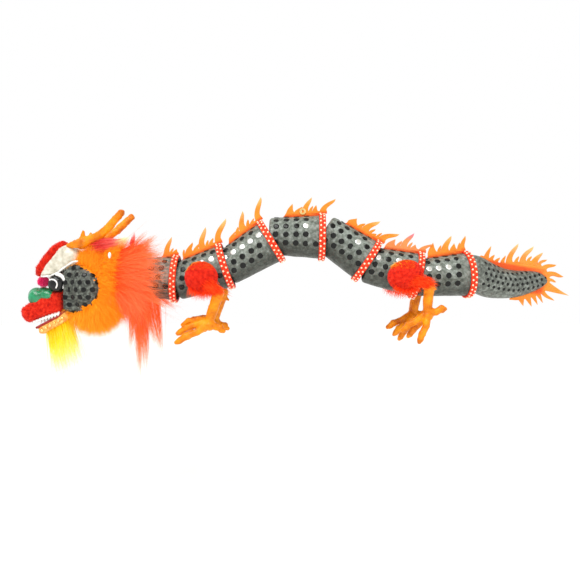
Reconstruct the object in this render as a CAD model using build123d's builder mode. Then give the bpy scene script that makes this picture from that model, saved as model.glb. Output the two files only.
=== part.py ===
"""A jointed dragon that hangs from an eyelet in its back: a head, seven nested drums and a tail.

Row frame: the origin is the centre of the hanging eyelet, +X runs towards the tail, +Y is the dragon's
far side and +Z is up.  Millimetres and degrees.  Every member (head, drum, tail) has its own frame at the
pivot in front of it, or behind it for the head, with +X along the member towards the tail.
"""

import os
from math import cos, radians, sin

from build123d import *

# ---- driving dimensions -------------------------------------------------------------------------------
PIVOT_PITCH = 54.7  # from one coupling's centre to the next
FRONT_LEAD = 10.5  # how far a drum reaches in front of its own pivot
REAR_GAP = 7.0  # a drum's rear edge stops this far short of the next pivot
DRUM_R_FRONT = 19.0
DRUM_R_REAR = 23.0
WALL = 1.2
BAND_WIDTH = 6.5
BAND_R = 25.0
DRUM_COUNT = 7
MIDDLE_DRUM = 4  # the drum that carries the hanging eyelet
MIDDLE_PITCH = -1.0  # how much the middle drum rises towards the tail, in degrees
HIPS = {2: (20.5, -4.0), 6: (26.5, -3.5)}  # drums with legs, and where their hip axle crosses them

# Rest angles of the eight couplings, head first: each member relative to the one in front of it.
BEND = [-3, 21, 13, -32, -33, 22, 16, -13]  # rising towards the tail is positive
TURN = [0, 0, 0, 0, 0, 0, 9, 4]  # turning towards +Y is positive

TOUCH = 0.05  # between pieces of one member that lie against each other

# ---- coupling: a cross with four trunnions between two forks -------------------------------------------
EAR_IN = 4.5
EAR_OUT = 6.5
EAR_R = 3.0
FORK_BASE_IN = 8.0
FORK_BASE_OUT = 10.0
TRUNNION_R = 1.5
TRUNNION_BORE_R = 1.55
ROD_R = 3.0

# ---- drum insides --------------------------------------------------------------------------------------
FRONT_DISC_X = 14.0
REAR_DISC_X = 31.5
DISC_THICK = 1.5
LIP_R = 15.0  # the opening in a drum's rounded front

# ---- legs, measured outwards from the dragon's middle plane -----------------------------------------------
AXLE_R = 2.0
AXLE_BORE_R = 2.05
SHELL_HOLE_R = 2.4
AXLE_COLLAR_R = 4.4
AXLE_COLLAR = 12.0
THIGH_IN = {2: 23.4, 6: 25.8}  # the inner face of the thigh, clear of the drum and of its band
HUB_THICK = 5.0
HUB_R = 6.2
CAP_R = 3.6
CAP_THICK = 1.2
PUFF_R = 17.0
PUFF_DEPTH = 12.0

# ---- fins ----------------------------------------------------------------------------------------------
FELT = 2.0
FIN_BASE = 4.6
EYELET_X = 24.0
EYELET_RISE = 5.2  # the eyelet's centre above the drum's top line
EYELET_BORE_R = 1.5
EYELET_R = 2.6
EYELET_FLANGE_R = 3.4
EYELET_LENGTH = 3.2

SIDE = Plane.XZ  # looking at the dragon's near side: x towards the tail, y up, normal -Y


def drum_radius(x):
    """Outer radius of a drum's shell at x along the drum."""
    length = PIVOT_PITCH - REAR_GAP + FRONT_LEAD
    return DRUM_R_FRONT + (DRUM_R_REAR - DRUM_R_FRONT) * (x + FRONT_LEAD) / length


DRUM_REAR_X = PIVOT_PITCH - REAR_GAP
EYELET_Z = drum_radius(EYELET_X) + EYELET_RISE


# ---- where the members are -----------------------------------------------------------------------------
def coupling_step(k):
    """From one member's frame to the cross behind it, and on to the next member's frame."""
    reach = 0 if k == 0 else PIVOT_PITCH  # the head's frame is already at its rear pivot
    cross = Location((reach, 0, 0), (0, 0, TURN[k]))
    return cross, cross * Location((0, 0, 0), (0, -BEND[k], 0))


def member_frames():
    """Frames of the head, the seven drums and the tail, and of the eight crosses between them."""
    middle = Location((0, 0, 0), (0, -MIDDLE_PITCH, 0)) * Location((-EYELET_X, 0, -EYELET_Z))
    members = {MIDDLE_DRUM: middle}
    crosses = {}
    for k in range(MIDDLE_DRUM, DRUM_COUNT + 1):
        cross, following = coupling_step(k)
        crosses[k] = members[k] * cross
        members[k + 1] = members[k] * following
    for k in range(MIDDLE_DRUM - 1, -1, -1):
        cross, following = coupling_step(k)
        members[k] = members[k + 1] * following.inverse()
        crosses[k] = members[k] * cross
    return members, crosses


MEMBERS, CROSSES = member_frames()
HEAD, TAIL = 0, DRUM_COUNT + 1


def write(name, piece, frame=Location()):
    """Write a finished piece, made in its member's frame, where that member is."""
    with BuildPart() as placed:
        with Locations(frame):
            add(piece)
    placed.part.label = name
    export_step(placed.part, f"parts/{name}.step")


# ---- shared features -----------------------------------------------------------------------------------
def fork(pivot_x, towards, across):
    """Two rounded ears round a pivot, joined by a bar; towards is +1 if the bar lies at larger x."""
    base_x = pivot_x + towards * (FORK_BASE_IN + FORK_BASE_OUT) / 2
    ear_middle = (EAR_IN + EAR_OUT) / 2
    bar_thick = FORK_BASE_OUT - FORK_BASE_IN
    ear_thick = EAR_OUT - EAR_IN
    for side in (-1, 1):
        offset = (0, side * ear_middle, 0) if across == "Y" else (0, 0, side * ear_middle)
        turn = (90, 0, 0) if across == "Y" else (0, 0, 0)
        arm_size = (FORK_BASE_OUT, ear_thick, 2 * EAR_R) if across == "Y" else (FORK_BASE_OUT, 2 * EAR_R, ear_thick)
        arm_x = pivot_x + towards * FORK_BASE_OUT / 2
        with Locations((arm_x, offset[1], offset[2])):
            Box(*arm_size)
        with Locations((pivot_x, offset[1], offset[2])):
            Cylinder(EAR_R, ear_thick, rotation=turn)
    bar = (bar_thick, 2 * EAR_OUT, 2 * EAR_R) if across == "Y" else (bar_thick, 2 * EAR_R, 2 * EAR_OUT)
    with Locations((base_x, 0, 0)):
        Box(*bar)


def fork_bore(pivot_x, across):
    """The trunnion holes through both ears of a fork."""
    turn = (90, 0, 0) if across == "Y" else (0, 0, 0)
    with Locations((pivot_x, 0, 0)):
        Cylinder(TRUNNION_BORE_R, 4 * EAR_OUT, rotation=turn, mode=Mode.SUBTRACT)


def along_x(x):
    """A sketch plane across a member at x, with sketch x along Y and sketch y along Z."""
    return Plane(origin=(x, 0, 0), x_dir=(0, 1, 0), z_dir=(1, 0, 0))


def rod(x_start, x_end, radius=ROD_R):
    """A round bar along the member's axis."""
    with Locations(((x_start + x_end) / 2, 0, 0)):
        Cylinder(radius, x_end - x_start, rotation=(0, 90, 0))


def tapered_bar(start, end, start_r, end_r):
    """A round bar between two points with ball ends."""
    run = Vector(*end) - Vector(*start)
    with Locations(Plane(origin=start, z_dir=run)):
        Cone(start_r, end_r, run.length, align=(Align.CENTER, Align.CENTER, Align.MIN))
    with Locations(start):
        Sphere(start_r)
    with Locations(end):
        Sphere(end_r)


# ---- coupling cross ------------------------------------------------------------------------------------
with BuildPart() as cross_piece:
    Box(6, 6, 6)
    fillet(cross_piece.edges(), 0.8)
    Cylinder(TRUNNION_R, 2 * EAR_OUT)
    Cylinder(TRUNNION_R, 2 * EAR_OUT, rotation=(90, 0, 0))

for k in range(DRUM_COUNT + 1):
    write(f"cross_{k + 1}", cross_piece.part, CROSSES[k])


# ---- drum shell: a tapered tube with a rounded, open front ----------------------------------------------
FRONT_ROUND = 3.6

with BuildPart() as drum_shell:
    with BuildSketch(SIDE):
        with BuildLine():
            shoulder_x = -FRONT_LEAD + FRONT_ROUND
            shoulder_r = drum_radius(shoulder_x)
            lip = (-FRONT_LEAD, LIP_R)
            inner_lip = (-FRONT_LEAD + WALL, LIP_R)
            inner_shoulder = (shoulder_x, shoulder_r - WALL)
            outer_bend = (-FRONT_LEAD + 0.9, shoulder_r - 1.3)
            inner_bend = (-FRONT_LEAD + 2.0, shoulder_r - 2.3)
            ThreePointArc(lip, outer_bend, (shoulder_x, shoulder_r))
            Polyline(
                (shoulder_x, shoulder_r),
                (DRUM_REAR_X, DRUM_R_REAR),
                (DRUM_REAR_X, DRUM_R_REAR - WALL),
                inner_shoulder,
            )
            ThreePointArc(inner_shoulder, inner_bend, inner_lip)
            Line(inner_lip, lip)
        make_face()
    revolve(axis=Axis.X)


def shell_with_hips(k):
    """A drum shell with the hip axle's holes."""
    hip_x, hip_z = HIPS[k]
    with BuildPart() as pierced:
        add(drum_shell.part)
        with Locations((hip_x, 0, hip_z)):
            Cylinder(SHELL_HOLE_R, 4 * DRUM_R_REAR, rotation=(90, 0, 0), mode=Mode.SUBTRACT)
    return pierced


# ---- drum spine: two forks, a rod and two discs that carry the shell -------------------------------------
def spine_disc(x):
    """A disc that fills the shell at x, pierced to save weight."""
    with BuildSketch(along_x(x)) as outline:
        Circle(drum_radius(x) - WALL - TOUCH)
        with PolarLocations(11.5, 6):
            Circle(3.6, mode=Mode.SUBTRACT)
    extrude(outline.sketch, amount=DISC_THICK)


with BuildPart() as drum_spine:
    rod(FORK_BASE_IN, PIVOT_PITCH - FORK_BASE_IN)
    spine_disc(FRONT_DISC_X)
    spine_disc(REAR_DISC_X)
    fork(0, 1, "Y")
    fork(PIVOT_PITCH, -1, "Z")
    fork_bore(0, "Y")
    fork_bore(PIVOT_PITCH, "Z")


def spine_with_hips(k):
    """A drum spine with the hip axle through it and a cap that keeps each leg on."""
    hip_x, hip_z = HIPS[k]
    cap_in = THIGH_IN[k] + HUB_THICK + TOUCH
    with BuildPart() as axled:
        add(drum_spine.part)
        with Locations((hip_x, 0, hip_z)):
            Cylinder(AXLE_R, 2 * cap_in, rotation=(90, 0, 0))
            Cylinder(AXLE_COLLAR_R, AXLE_COLLAR, rotation=(90, 0, 0))
        for side in (-1, 1):
            with Locations((hip_x, side * (cap_in + CAP_THICK / 2), hip_z)):
                Cylinder(CAP_R, CAP_THICK, rotation=(90, 0, 0))
    return axled


# ---- trim band round a drum's rear edge ------------------------------------------------------------------
with BuildPart() as drum_band:
    band_front_x = DRUM_REAR_X - BAND_WIDTH
    with BuildSketch(SIDE):
        with BuildLine():
            Polyline(
                (band_front_x, drum_radius(band_front_x) + TOUCH),
                (band_front_x, BAND_R - 0.8),
                (band_front_x + 0.8, BAND_R),
                (DRUM_REAR_X - 0.8, BAND_R),
                (DRUM_REAR_X, BAND_R - 0.8),
                (DRUM_REAR_X, DRUM_R_REAR + TOUCH),
                close=True,
            )
        make_face()
    revolve(axis=Axis.X)


# ---- felt fins: a strip along the top with flames --------------------------------------------------------
def flame(root_start, root_end, root_z, tip):
    """One flame standing on the strip: two curved edges that meet at its tip, leaning towards the tail."""
    lean = tip[0] - (root_start + root_end) / 2
    rise = tip[1] - root_z
    with BuildSketch(SIDE, mode=Mode.PRIVATE) as shape:
        with BuildLine():
            Bezier(
                (root_start, root_z),
                (root_start + 0.55 * (root_end - root_start) + 0.1 * lean, root_z + 0.35 * rise),
                (root_start + 0.2 * lean, root_z + 0.75 * rise),
                tip,
            )
            Bezier(
                tip,
                (root_end + 0.55 * lean, root_z + 0.75 * rise),
                (root_end - 0.3 * (root_end - root_start), root_z + 0.3 * rise),
                (root_end, root_z),
            )
            Line((root_end, root_z), (root_start, root_z))
        make_face()
    return shape.sketch


# Flames of a drum's fin: where the root starts and ends, how far past its end the tip is, and its height.
DRUM_FLAMES = [(8, 16, -1, 10), (18, 26, 3, 17), (28, 32.5, 0.5, 8), (36, 44, 8, 19)]
NECK_FLAMES = [(37.2, 42, 3, 17), (42.5, 46, 1, 7)]
MANE_CLEAR_X = 36.5
FIN_START_X = 6.0


def drum_fin(start_x, flames):
    """The strip over a drum's top line, stepped over the band, with its flames."""
    band_front = DRUM_REAR_X - BAND_WIDTH - 0.2
    floor_start = drum_radius(start_x) + TOUCH
    floor_end = drum_radius(band_front) + TOUCH
    over_band = BAND_R + TOUCH
    with BuildPart() as fin:
        with BuildSketch(SIDE):
            with BuildLine():
                Polyline(
                    (start_x, floor_start),
                    (band_front, floor_end),
                    (band_front, over_band),
                    (DRUM_REAR_X, over_band),
                    (DRUM_REAR_X, DRUM_R_REAR + FIN_BASE),
                    (start_x + 3, drum_radius(start_x + 3) + FIN_BASE),
                    close=True,
                )
            make_face()
            for root_start, root_end, past, height in flames:
                root_z = drum_radius((root_start + root_end) / 2) + FIN_BASE - 1.0
                add(flame(root_start, root_end, root_z, (root_end + past, root_z + height)))
        extrude(amount=FELT / 2, both=True)
    return fin


plain_fin = drum_fin(FIN_START_X, DRUM_FLAMES)
neck_fin = drum_fin(MANE_CLEAR_X, NECK_FLAMES)

with BuildPart() as middle_fin:
    add(plain_fin.part)
    with Locations((EYELET_X, 0, EYELET_Z)):
        Cylinder(EYELET_FLANGE_R + 1.2, FELT, rotation=(90, 0, 0))
        Cylinder(EYELET_R, 2 * FELT, rotation=(90, 0, 0), mode=Mode.SUBTRACT)

with BuildPart() as hang_eyelet:
    with Locations((EYELET_X, 0, EYELET_Z)):
        Cylinder(EYELET_R - 0.02, EYELET_LENGTH, rotation=(90, 0, 0))
    for side in (-1, 1):
        with Locations((EYELET_X, side * (FELT + EYELET_LENGTH) / 4, EYELET_Z)):
            Cylinder(EYELET_FLANGE_R, (EYELET_LENGTH - FELT) / 2, rotation=(90, 0, 0))
    with Locations((EYELET_X, 0, EYELET_Z)):
        Cylinder(EYELET_BORE_R, 2 * EYELET_LENGTH, rotation=(90, 0, 0), mode=Mode.SUBTRACT)

write("hang_eyelet", hang_eyelet.part, MEMBERS[MIDDLE_DRUM])

for k in range(1, DRUM_COUNT + 1):
    fin_piece = {1: neck_fin, MIDDLE_DRUM: middle_fin}.get(k, plain_fin)
    shell_piece = shell_with_hips(k) if k in HIPS else drum_shell
    spine_piece = spine_with_hips(k) if k in HIPS else drum_spine
    write(f"drum_{k}_shell", shell_piece.part, MEMBERS[k])
    write(f"drum_{k}_spine", spine_piece.part, MEMBERS[k])
    write(f"drum_{k}_band", drum_band.part, MEMBERS[k])
    write(f"drum_{k}_fin", fin_piece.part, MEMBERS[k])


# ---- tail: a flattened horn shape with a fork in its hollow front, and a fin round it --------------------
# Sections of the tail: distance from its pivot, height of the section's middle, half height, half width.
TAIL_SECTIONS = [
    (-7.5, 0, 19, 19),
    (2, -0.6, 19.3, 19.3),
    (15, -4, 18.8, 17.6),
    (28, -5.4, 16.8, 15.6),
    (49.5, -3.4, 14.6, 11.5),
    (67, 1.4, 11.8, 7.5),
    (78.5, 4.2, 7.4, 4.4),
    (84.5, 5, 2, 1.8),
]
HOLLOW_END_X = 13.0

with BuildPart() as tail_body:
    for x, middle_z, half_height, half_width in TAIL_SECTIONS:
        with BuildSketch(Plane(origin=(x, 0, middle_z), x_dir=(0, 1, 0), z_dir=(1, 0, 0))):
            Ellipse(half_width, half_height)
    loft()
    with Locations((-FRONT_LEAD / 2 - 3.75, 0, 0)):
        Cone(17, 19, 3, rotation=(0, 90, 0), align=(Align.CENTER, Align.CENTER, Align.CENTER))
    with Locations((HOLLOW_END_X / 2 - 6, 0, 0)):
        Cone(15.2, 9, HOLLOW_END_X + 12, rotation=(0, 90, 0), mode=Mode.SUBTRACT)
    rod(FORK_BASE_IN, HOLLOW_END_X + 1)
    fork(0, 1, "Y")
    fork_bore(0, "Y")

write("tail_body", tail_body.part, MEMBERS[TAIL])

# The strip's outer edge, and each flame's root ends and tip, in the tail's own x and z.
TAIL_STRIP = [
    (10, 13), (9.5, 21.5), (18, 19), (31, 16.5), (49, 17), (67, 19.5), (79, 18), (88, 11), (89.5, 3),
    (84, -5), (72, -14), (57, -21.5), (44, -23.5), (46, -16), (63, 0), (42, 0),
]
TAIL_FLAMES = [
    ((9, 19), (17, 18), (12.5, 32)),
    ((19, 18), (24, 17), (22.5, 24)),
    ((28, 15), (46, 15), (44, 39)),
    ((48, 15), (60, 17), (63, 39)),
    ((61, 18), (70, 18), (74, 34)),
    ((71, 18), (79, 17), (85, 24)),
    ((81, 16), (87, 11), (97, 12)),
    ((88, 8), (87, -1), (105, -4)),
    ((84, -3), (78, -9), (87, -14)),
    ((75, -10), (68, -15), (74, -20)),
    ((66, -15), (56, -20), (61, -24)),
]

with BuildPart() as tail_fin:
    with BuildSketch(SIDE):
        with BuildLine():
            Polyline(*TAIL_STRIP, close=True)
        make_face()
        for root_start, root_end, tip in TAIL_FLAMES:
            width = Vector(*root_end) - Vector(*root_start)
            leading = (Vector(*root_start) + Vector(*tip)) / 2 - 0.18 * width
            trailing = (Vector(*root_end) + Vector(*tip)) / 2 - 0.2 * width
            with BuildLine():
                Bezier(root_start, leading, tip)
                Bezier(tip, trailing, root_end)
                Line(root_end, root_start)
            make_face()
    extrude(amount=FELT / 2, both=True)
    add(tail_body.part, mode=Mode.SUBTRACT)

write("tail_fin", tail_fin.part, MEMBERS[TAIL])


# ---- legs: a clawed leg on each hip, and a plush puff over its thigh --------------------------------------
FORWARD_SWING = {(6, 1): 8.0}  # legs that rest swung forward, by drum and side, in degrees
CLAW = 5.0  # the pointed end of each toe
CLAW_R = 1.0
PUFF_CLEAR = 0.05

# Every point is (towards the tail, outwards from the leg's own plane, up) from the hip.
LEG_SHAPES = {
    2: {
        "knee": (16.8, 0, -16.3), "knee_r": 5.8, "ankle": (7.3, 0, -45.7), "ankle_r": 4.6,
        "spur": ((17, 0, -20), (23, 0, -25)),
        "toes": [
            ((-4, 5, -56), (-26, 9, -67.7)), ((-6, 0, -49), (-25.5, 0, -58)),
            ((-5, -5, -43), (-21, -9, -48.8)), ((13, 0, -50), (23, 0, -57)),
        ],
        "puff": (-1, -1), "puff_stretch": (1.0, 1.0), "puff_tilt": 0,
    },
    6: {
        "knee": (27, 0, -11.5), "knee_r": 5.4, "ankle": (25, 0, -38), "ankle_r": 4.2,
        "spur": ((29, 0, -13), (34, 0, -16)),
        "toes": [
            ((23, 5, -52), (15, 8, -70)), ((14, 0, -47), (-2, 1, -58)),
            ((16, -5, -48), (5, -8, -64)), ((34, 0, -37), (44, 0, -34)),
        ],
        "puff": (3, -1), "puff_stretch": (1.12, 0.92), "puff_tilt": 20,
    },
}


def leg_piece(k, side):
    """One leg in a frame at the dragon's middle plane on the hip axis, with side +1 for the far side."""
    shape = LEG_SHAPES[k]
    plane_y = THIGH_IN[k] + HUB_THICK / 2

    def at(point):
        return (point[0], side * (plane_y + point[1]), point[2])

    with BuildPart() as leg:
        with Locations(at((0, 0, 0))):
            Cylinder(HUB_R, HUB_THICK, rotation=(90, 0, 0))
        thigh_start = tuple(0.2 * value for value in shape["knee"])
        tapered_bar(at(thigh_start), at(shape["knee"]), HUB_THICK / 2, shape["knee_r"])
        tapered_bar(at(shape["knee"]), at(shape["ankle"]), shape["knee_r"], shape["ankle_r"])
        tapered_bar(at(shape["spur"][0]), at(shape["spur"][1]), 3.4, CLAW_R)
        for knuckle, tip in shape["toes"]:
            tapered_bar(at(shape["ankle"]), at(knuckle), shape["ankle_r"], 3.8)
            run = Vector(*tip) - Vector(*knuckle)
            claw_start = Vector(*tip) - run.normalized() * CLAW
            tapered_bar(at(knuckle), at(tuple(claw_start)), 3.8, 2.9)
            tapered_bar(at(tuple(claw_start)), at(tip), 2.9, CLAW_R)
        inner_y = side * (THIGH_IN[k] - HUB_THICK)
        with Locations((0, inner_y, 0)):
            Box(6 * PUFF_R, 2 * HUB_THICK, 2 * PUFF_R, mode=Mode.SUBTRACT)
        Cylinder(AXLE_BORE_R, 200, rotation=(90, 0, 0), mode=Mode.SUBTRACT)
    return leg


def puff_piece(k, side, leg):
    """The plush puff: half an egg over the thigh, hollowed for the leg, the axle and its cap."""
    shape = LEG_SHAPES[k]
    stretch_x, stretch_z = shape["puff_stretch"]
    with BuildPart() as puff:
        with BuildSketch(Plane(origin=(shape["puff"][0], side * THIGH_IN[k], shape["puff"][1]),
                               x_dir=(1, 0, 0), z_dir=(0, side, 0))):
            Ellipse(PUFF_R * stretch_x, PUFF_R * stretch_z, rotation=side * shape["puff_tilt"])
        extrude(amount=PUFF_DEPTH)
        outer = puff.edges().filter_by(lambda edge: abs(edge.center().Y * side - THIGH_IN[k]) > 1)
        fillet(outer, PUFF_DEPTH * 0.8)
        with Locations((0, side * (THIGH_IN[k] + HUB_THICK / 2 + 1), 0)):
            Cylinder(HUB_R + PUFF_CLEAR, HUB_THICK + 4, rotation=(90, 0, 0), mode=Mode.SUBTRACT)
        add(leg.part, mode=Mode.SUBTRACT)
    return puff


def hip_frame(k):
    """The hip axis where it crosses the dragon's middle plane, square to the row frame."""
    hip_x, hip_z = HIPS[k]
    hip = MEMBERS[k] * Location((hip_x, 0, hip_z))
    return Location(hip.position)


for k, pair in ((2, "front"), (6, "hind")):
    for side, hand in ((-1, "left"), (1, "right")):
        leg = leg_piece(k, side)
        swung = hip_frame(k) * Location((0, 0, 0), (0, FORWARD_SWING.get((k, side), 0), 0))
        write(f"leg_{pair}_{hand}", leg.part, swung)
        write(f"thigh_puff_{pair}_{hand}", puff_piece(k, side, leg).part, swung)


# ---- head: a skull with a neck collar over the first drum, and its trim -----------------------------------
SKULL_CENTRE = (-44.0, 0.0, -9.0)
SKULL_HALF_LENGTH = 33.0
SKULL_R = 22.0
RUFF_CENTRE = (-43.0, 0.0, -12.0)
RUFF_HALF_LENGTH = 34.0
RUFF_R = 43.0
COLLAR_FRONT_X = -31.0
COLLAR_R = 23.0
HEAD_HALF_WIDTH = 15.0
EYE_CENTRE = (-76.0, 11.0, -7.4)
EYE_R = 9.5
JAW_HINGE = (-66.0, 0.0, -37.0)
JAW_PIN_R = 2.0
JAW_BORE_R = 2.05
JAW_EAR_IN = 9.0
JAW_EAR_OUT = 12.0
PLUSH_SPLIT_X = -20.0  # where the ruff ends and the mane begins


def egg(centre, half_length, radius, along="X", mode=Mode.ADD):
    """An ellipse turned about one of the frame's axes."""
    plane = Plane(origin=centre, x_dir=(1, 0, 0) if along == "X" else (0, 1, 0), z_dir=(0, 0, 1))
    with BuildSketch(plane) as half:
        Ellipse(half_length, radius)
        with Locations((0, -radius)):
            Rectangle(2 * half_length, 2 * radius, mode=Mode.SUBTRACT)
    revolve(half.sketch, axis=Axis(centre, plane.x_dir), mode=mode)


def side_slab(points, half_width, rounding):
    """A slab with the given side outline, rounded along its two side faces."""
    with BuildPart() as slab:
        with BuildSketch(SIDE):
            with BuildLine():
                Polyline(*points, close=True)
            make_face()
        extrude(amount=half_width, both=True)
        side_edges = slab.edges().filter_by(lambda edge: abs(abs(edge.center().Y) - half_width) < 0.01)
        fillet(side_edges, rounding)
    return slab


with BuildPart() as eyes:
    for side in (-1, 1):
        with Locations((EYE_CENTRE[0], side * EYE_CENTRE[1], EYE_CENTRE[2])):
            Sphere(EYE_R)

with BuildPart() as head_shell:
    egg(SKULL_CENTRE, SKULL_HALF_LENGTH, SKULL_R)
    add(eyes.part, mode=Mode.SUBTRACT)
    with Locations(((COLLAR_FRONT_X + 0) / 2 + 2, 0, 0)):
        Cylinder(COLLAR_R - WALL, -COLLAR_FRONT_X + 4, rotation=(0, 90, 0), mode=Mode.SUBTRACT)
    with BuildSketch(along_x(COLLAR_FRONT_X)):
        Circle(COLLAR_R)
        Circle(COLLAR_R - WALL, mode=Mode.SUBTRACT)
    extrude(amount=-COLLAR_FRONT_X - REAR_GAP)
    with BuildSketch(along_x(COLLAR_FRONT_X)):
        Circle(COLLAR_R)
    extrude(amount=-2 * WALL)
    rod(COLLAR_FRONT_X - WALL, -FORK_BASE_IN)
    fork(0, -1, "Z")
    fork_bore(0, "Z")
    with Locations((JAW_HINGE[0], 0, JAW_HINGE[2] + 6)):
        Box(9, 2 * JAW_EAR_IN - 1, 14)
    with Locations(JAW_HINGE):
        Cylinder(4.5, 2 * JAW_EAR_IN - 1, rotation=(90, 0, 0))
        Cylinder(JAW_PIN_R, 2 * JAW_EAR_OUT + 0.4, rotation=(90, 0, 0))

MUZZLE_OUTLINE = [
    (-112.8, -31.5), (-107.5, -28.4), (-99, -26), (-88.6, -20), (-81, -16.6), (-72, -17),
    (-72, -35), (-86.5, -40), (-97, -43), (-104, -47), (-110, -44), (-113, -37),
]
muzzle_slab = side_slab(MUZZLE_OUTLINE, HEAD_HALF_WIDTH, 3.0)
with BuildPart() as muzzle:
    add(muzzle_slab.part)
    add(head_shell.part, mode=Mode.SUBTRACT)
    add(eyes.part, mode=Mode.SUBTRACT)

# A round lobe with a wing on each side and a bridge, joined whole before the muzzle is cut away.
with BuildPart() as nose_blank:
    with Locations((-100.5, 0, -20)):
        Sphere(8.6)
    with Locations(*[(-100, side * 4.5, -21) for side in (-1, 1)]):
        Sphere(6.6)
    egg((-90, 0, -18.5), 12, 5.0, along="X")
with BuildPart() as nose:
    add(nose_blank.part)
    add(muzzle_slab.part, mode=Mode.SUBTRACT)

FOREHEAD_OUTLINE = [
    (-94, 0), (-65.5, 32), (-54, 30), (-52, 12), (-62, 2), (-70, -4), (-82, -3),
]
forehead_slab = side_slab(FOREHEAD_OUTLINE, HEAD_HALF_WIDTH + 1, 2.5)
with BuildPart() as forehead:
    add(forehead_slab.part)
    add(head_shell.part, mode=Mode.SUBTRACT)
    add(muzzle_slab.part, mode=Mode.SUBTRACT)
    add(nose.part, mode=Mode.SUBTRACT)
    add(eyes.part, mode=Mode.SUBTRACT)

CREST_OUTLINE = [(-95, 0.2), (-101, 3), (-97, 8), (-84, 22), (-71, 39), (-66, 41), (-62, 36), (-66, 33)]
with BuildPart() as crest:
    add(side_slab(CREST_OUTLINE, 8, 2).part)
    add(forehead.part, mode=Mode.SUBTRACT)

# One horn from its base ridge to its tip, on the far side: (towards the tail, outwards, up, radius).
HORN_PATH = [
    (-62, 9, 33.5, 3.2), (-51, 12, 35, 4.2), (-42, 14, 38, 4.3), (-30.5, 17, 42, 4.1),
    (-20.5, 20, 50.4, 3.8), (-12, 23, 59.9, 3.2), (-6, 25.5, 66.5, 1.6),
]
PRONG = ((-49, 12, 36.5), (-47.5, 15, 47.5))
with BuildPart() as horns:
    for side in (-1, 1):
        for (x1, y1, z1, r1), (x2, y2, z2, r2) in zip(HORN_PATH, HORN_PATH[1:]):
            tapered_bar((x1, side * y1, z1), (x2, side * y2, z2), r1, r2)
        base, tip = [(x, side * y, z) for x, y, z in PRONG]
        tapered_bar(base, tip, 3.4, 1.8)
    for trim in (crest, forehead):
        add(trim.part, mode=Mode.SUBTRACT)

TOOTH_XS = [-99, -94, -89, -84, -79]
with BuildPart() as upper_teeth:
    for side in (-1, 1):
        for x in TOOTH_XS:
            gum_z = -43.5 + (x + 99) * 0.32
            with Locations((x, side * 10.5, gum_z)):
                Box(5.2, 2.4, 4)
            with Locations((x, side * 10.5, gum_z - 2)):
                Cone(0.4, 2.3, 5, align=(Align.CENTER, Align.CENTER, Align.MAX))
    add(muzzle.part, mode=Mode.SUBTRACT)

JAW_OUTLINE = [
    (-96, -54), (-93, -51.5), (-84, -49), (-74, -44), (-69, -37), (-62, -37), (-64, -46), (-72, -54),
    (-86, -61), (-94, -61),
]
with BuildPart() as lower_jaw:
    add(side_slab(JAW_OUTLINE, JAW_EAR_OUT, 1.2).part)
    with Locations((JAW_HINGE[0], 0, JAW_HINGE[2] - 2)):
        Box(16, 2 * JAW_EAR_IN, 18, mode=Mode.SUBTRACT)
    for side in (-1, 1):
        with Locations((JAW_HINGE[0], side * (JAW_EAR_IN + JAW_EAR_OUT) / 2, JAW_HINGE[2])):
            Cylinder(4.2, JAW_EAR_OUT - JAW_EAR_IN, rotation=(90, 0, 0))
    with Locations(JAW_HINGE):
        Cylinder(JAW_BORE_R, 4 * JAW_EAR_OUT, rotation=(90, 0, 0), mode=Mode.SUBTRACT)

with BuildPart() as lower_teeth:
    for side in (-1, 1):
        for x, z in ((-92.5, -51.6), (-88, -50.4), (-83.5, -48.8), (-79, -46.6)):
            with Locations((x, side * 6, z)):
                Box(4.8, 2.4, 3)
                Cone(2.2, 0.4, 5.5, align=(Align.CENTER, Align.CENTER, Align.MIN))
    add(lower_jaw.part, mode=Mode.SUBTRACT)

BEARD_SECTIONS = [(-57, -80, 13, 10), (-72, -77, 11.5, 10), (-88, -73, 8, 7), (-103, -69, 2.5, 2.5)]
with BuildPart() as beard:
    for z, x, half_length, half_width in BEARD_SECTIONS:
        with BuildSketch(Plane.XY.offset(z).shift_origin((x, 0, z))):
            Ellipse(half_length, half_width)
    loft()
    add(lower_jaw.part, mode=Mode.SUBTRACT)

with BuildPart() as ruff:
    egg(RUFF_CENTRE, RUFF_HALF_LENGTH, RUFF_R)
    with Locations((PLUSH_SPLIT_X + 25 - TOUCH, 0, 0)):
        Box(50, 120, 160, mode=Mode.SUBTRACT)
    with Locations((-90, 0, -20)):
        Box(34, 120, 160, mode=Mode.SUBTRACT)
    with Locations((-76, 0, -46)):
        Box(34, 2 * JAW_EAR_OUT + 5, 44, mode=Mode.SUBTRACT)
    with Locations((COLLAR_FRONT_X / 2, 0, 0)):
        Cylinder(COLLAR_R + TOUCH, -COLLAR_FRONT_X, rotation=(0, 90, 0), mode=Mode.SUBTRACT)
    egg(SKULL_CENTRE, SKULL_HALF_LENGTH + TOUCH, SKULL_R + TOUCH, mode=Mode.SUBTRACT)
    for trim in (head_shell, muzzle_slab, nose, forehead_slab, crest, horns, eyes):
        add(trim.part, mode=Mode.SUBTRACT)

MANE_SECTION = [
    (PLUSH_SPLIT_X, COLLAR_R + 0.2), (-6, COLLAR_R + 0.4), (4, 26), (4, 31), (-2, 34), (PLUSH_SPLIT_X, 34),
]
with BuildPart() as mane:
    with BuildSketch(SIDE):
        with BuildLine():
            Polyline(*MANE_SECTION, close=True)
        make_face()
    revolve(axis=Axis.X)
    egg(SKULL_CENTRE, SKULL_HALF_LENGTH + TOUCH, SKULL_R + TOUCH, mode=Mode.SUBTRACT)
    add(horns.part, mode=Mode.SUBTRACT)

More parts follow.
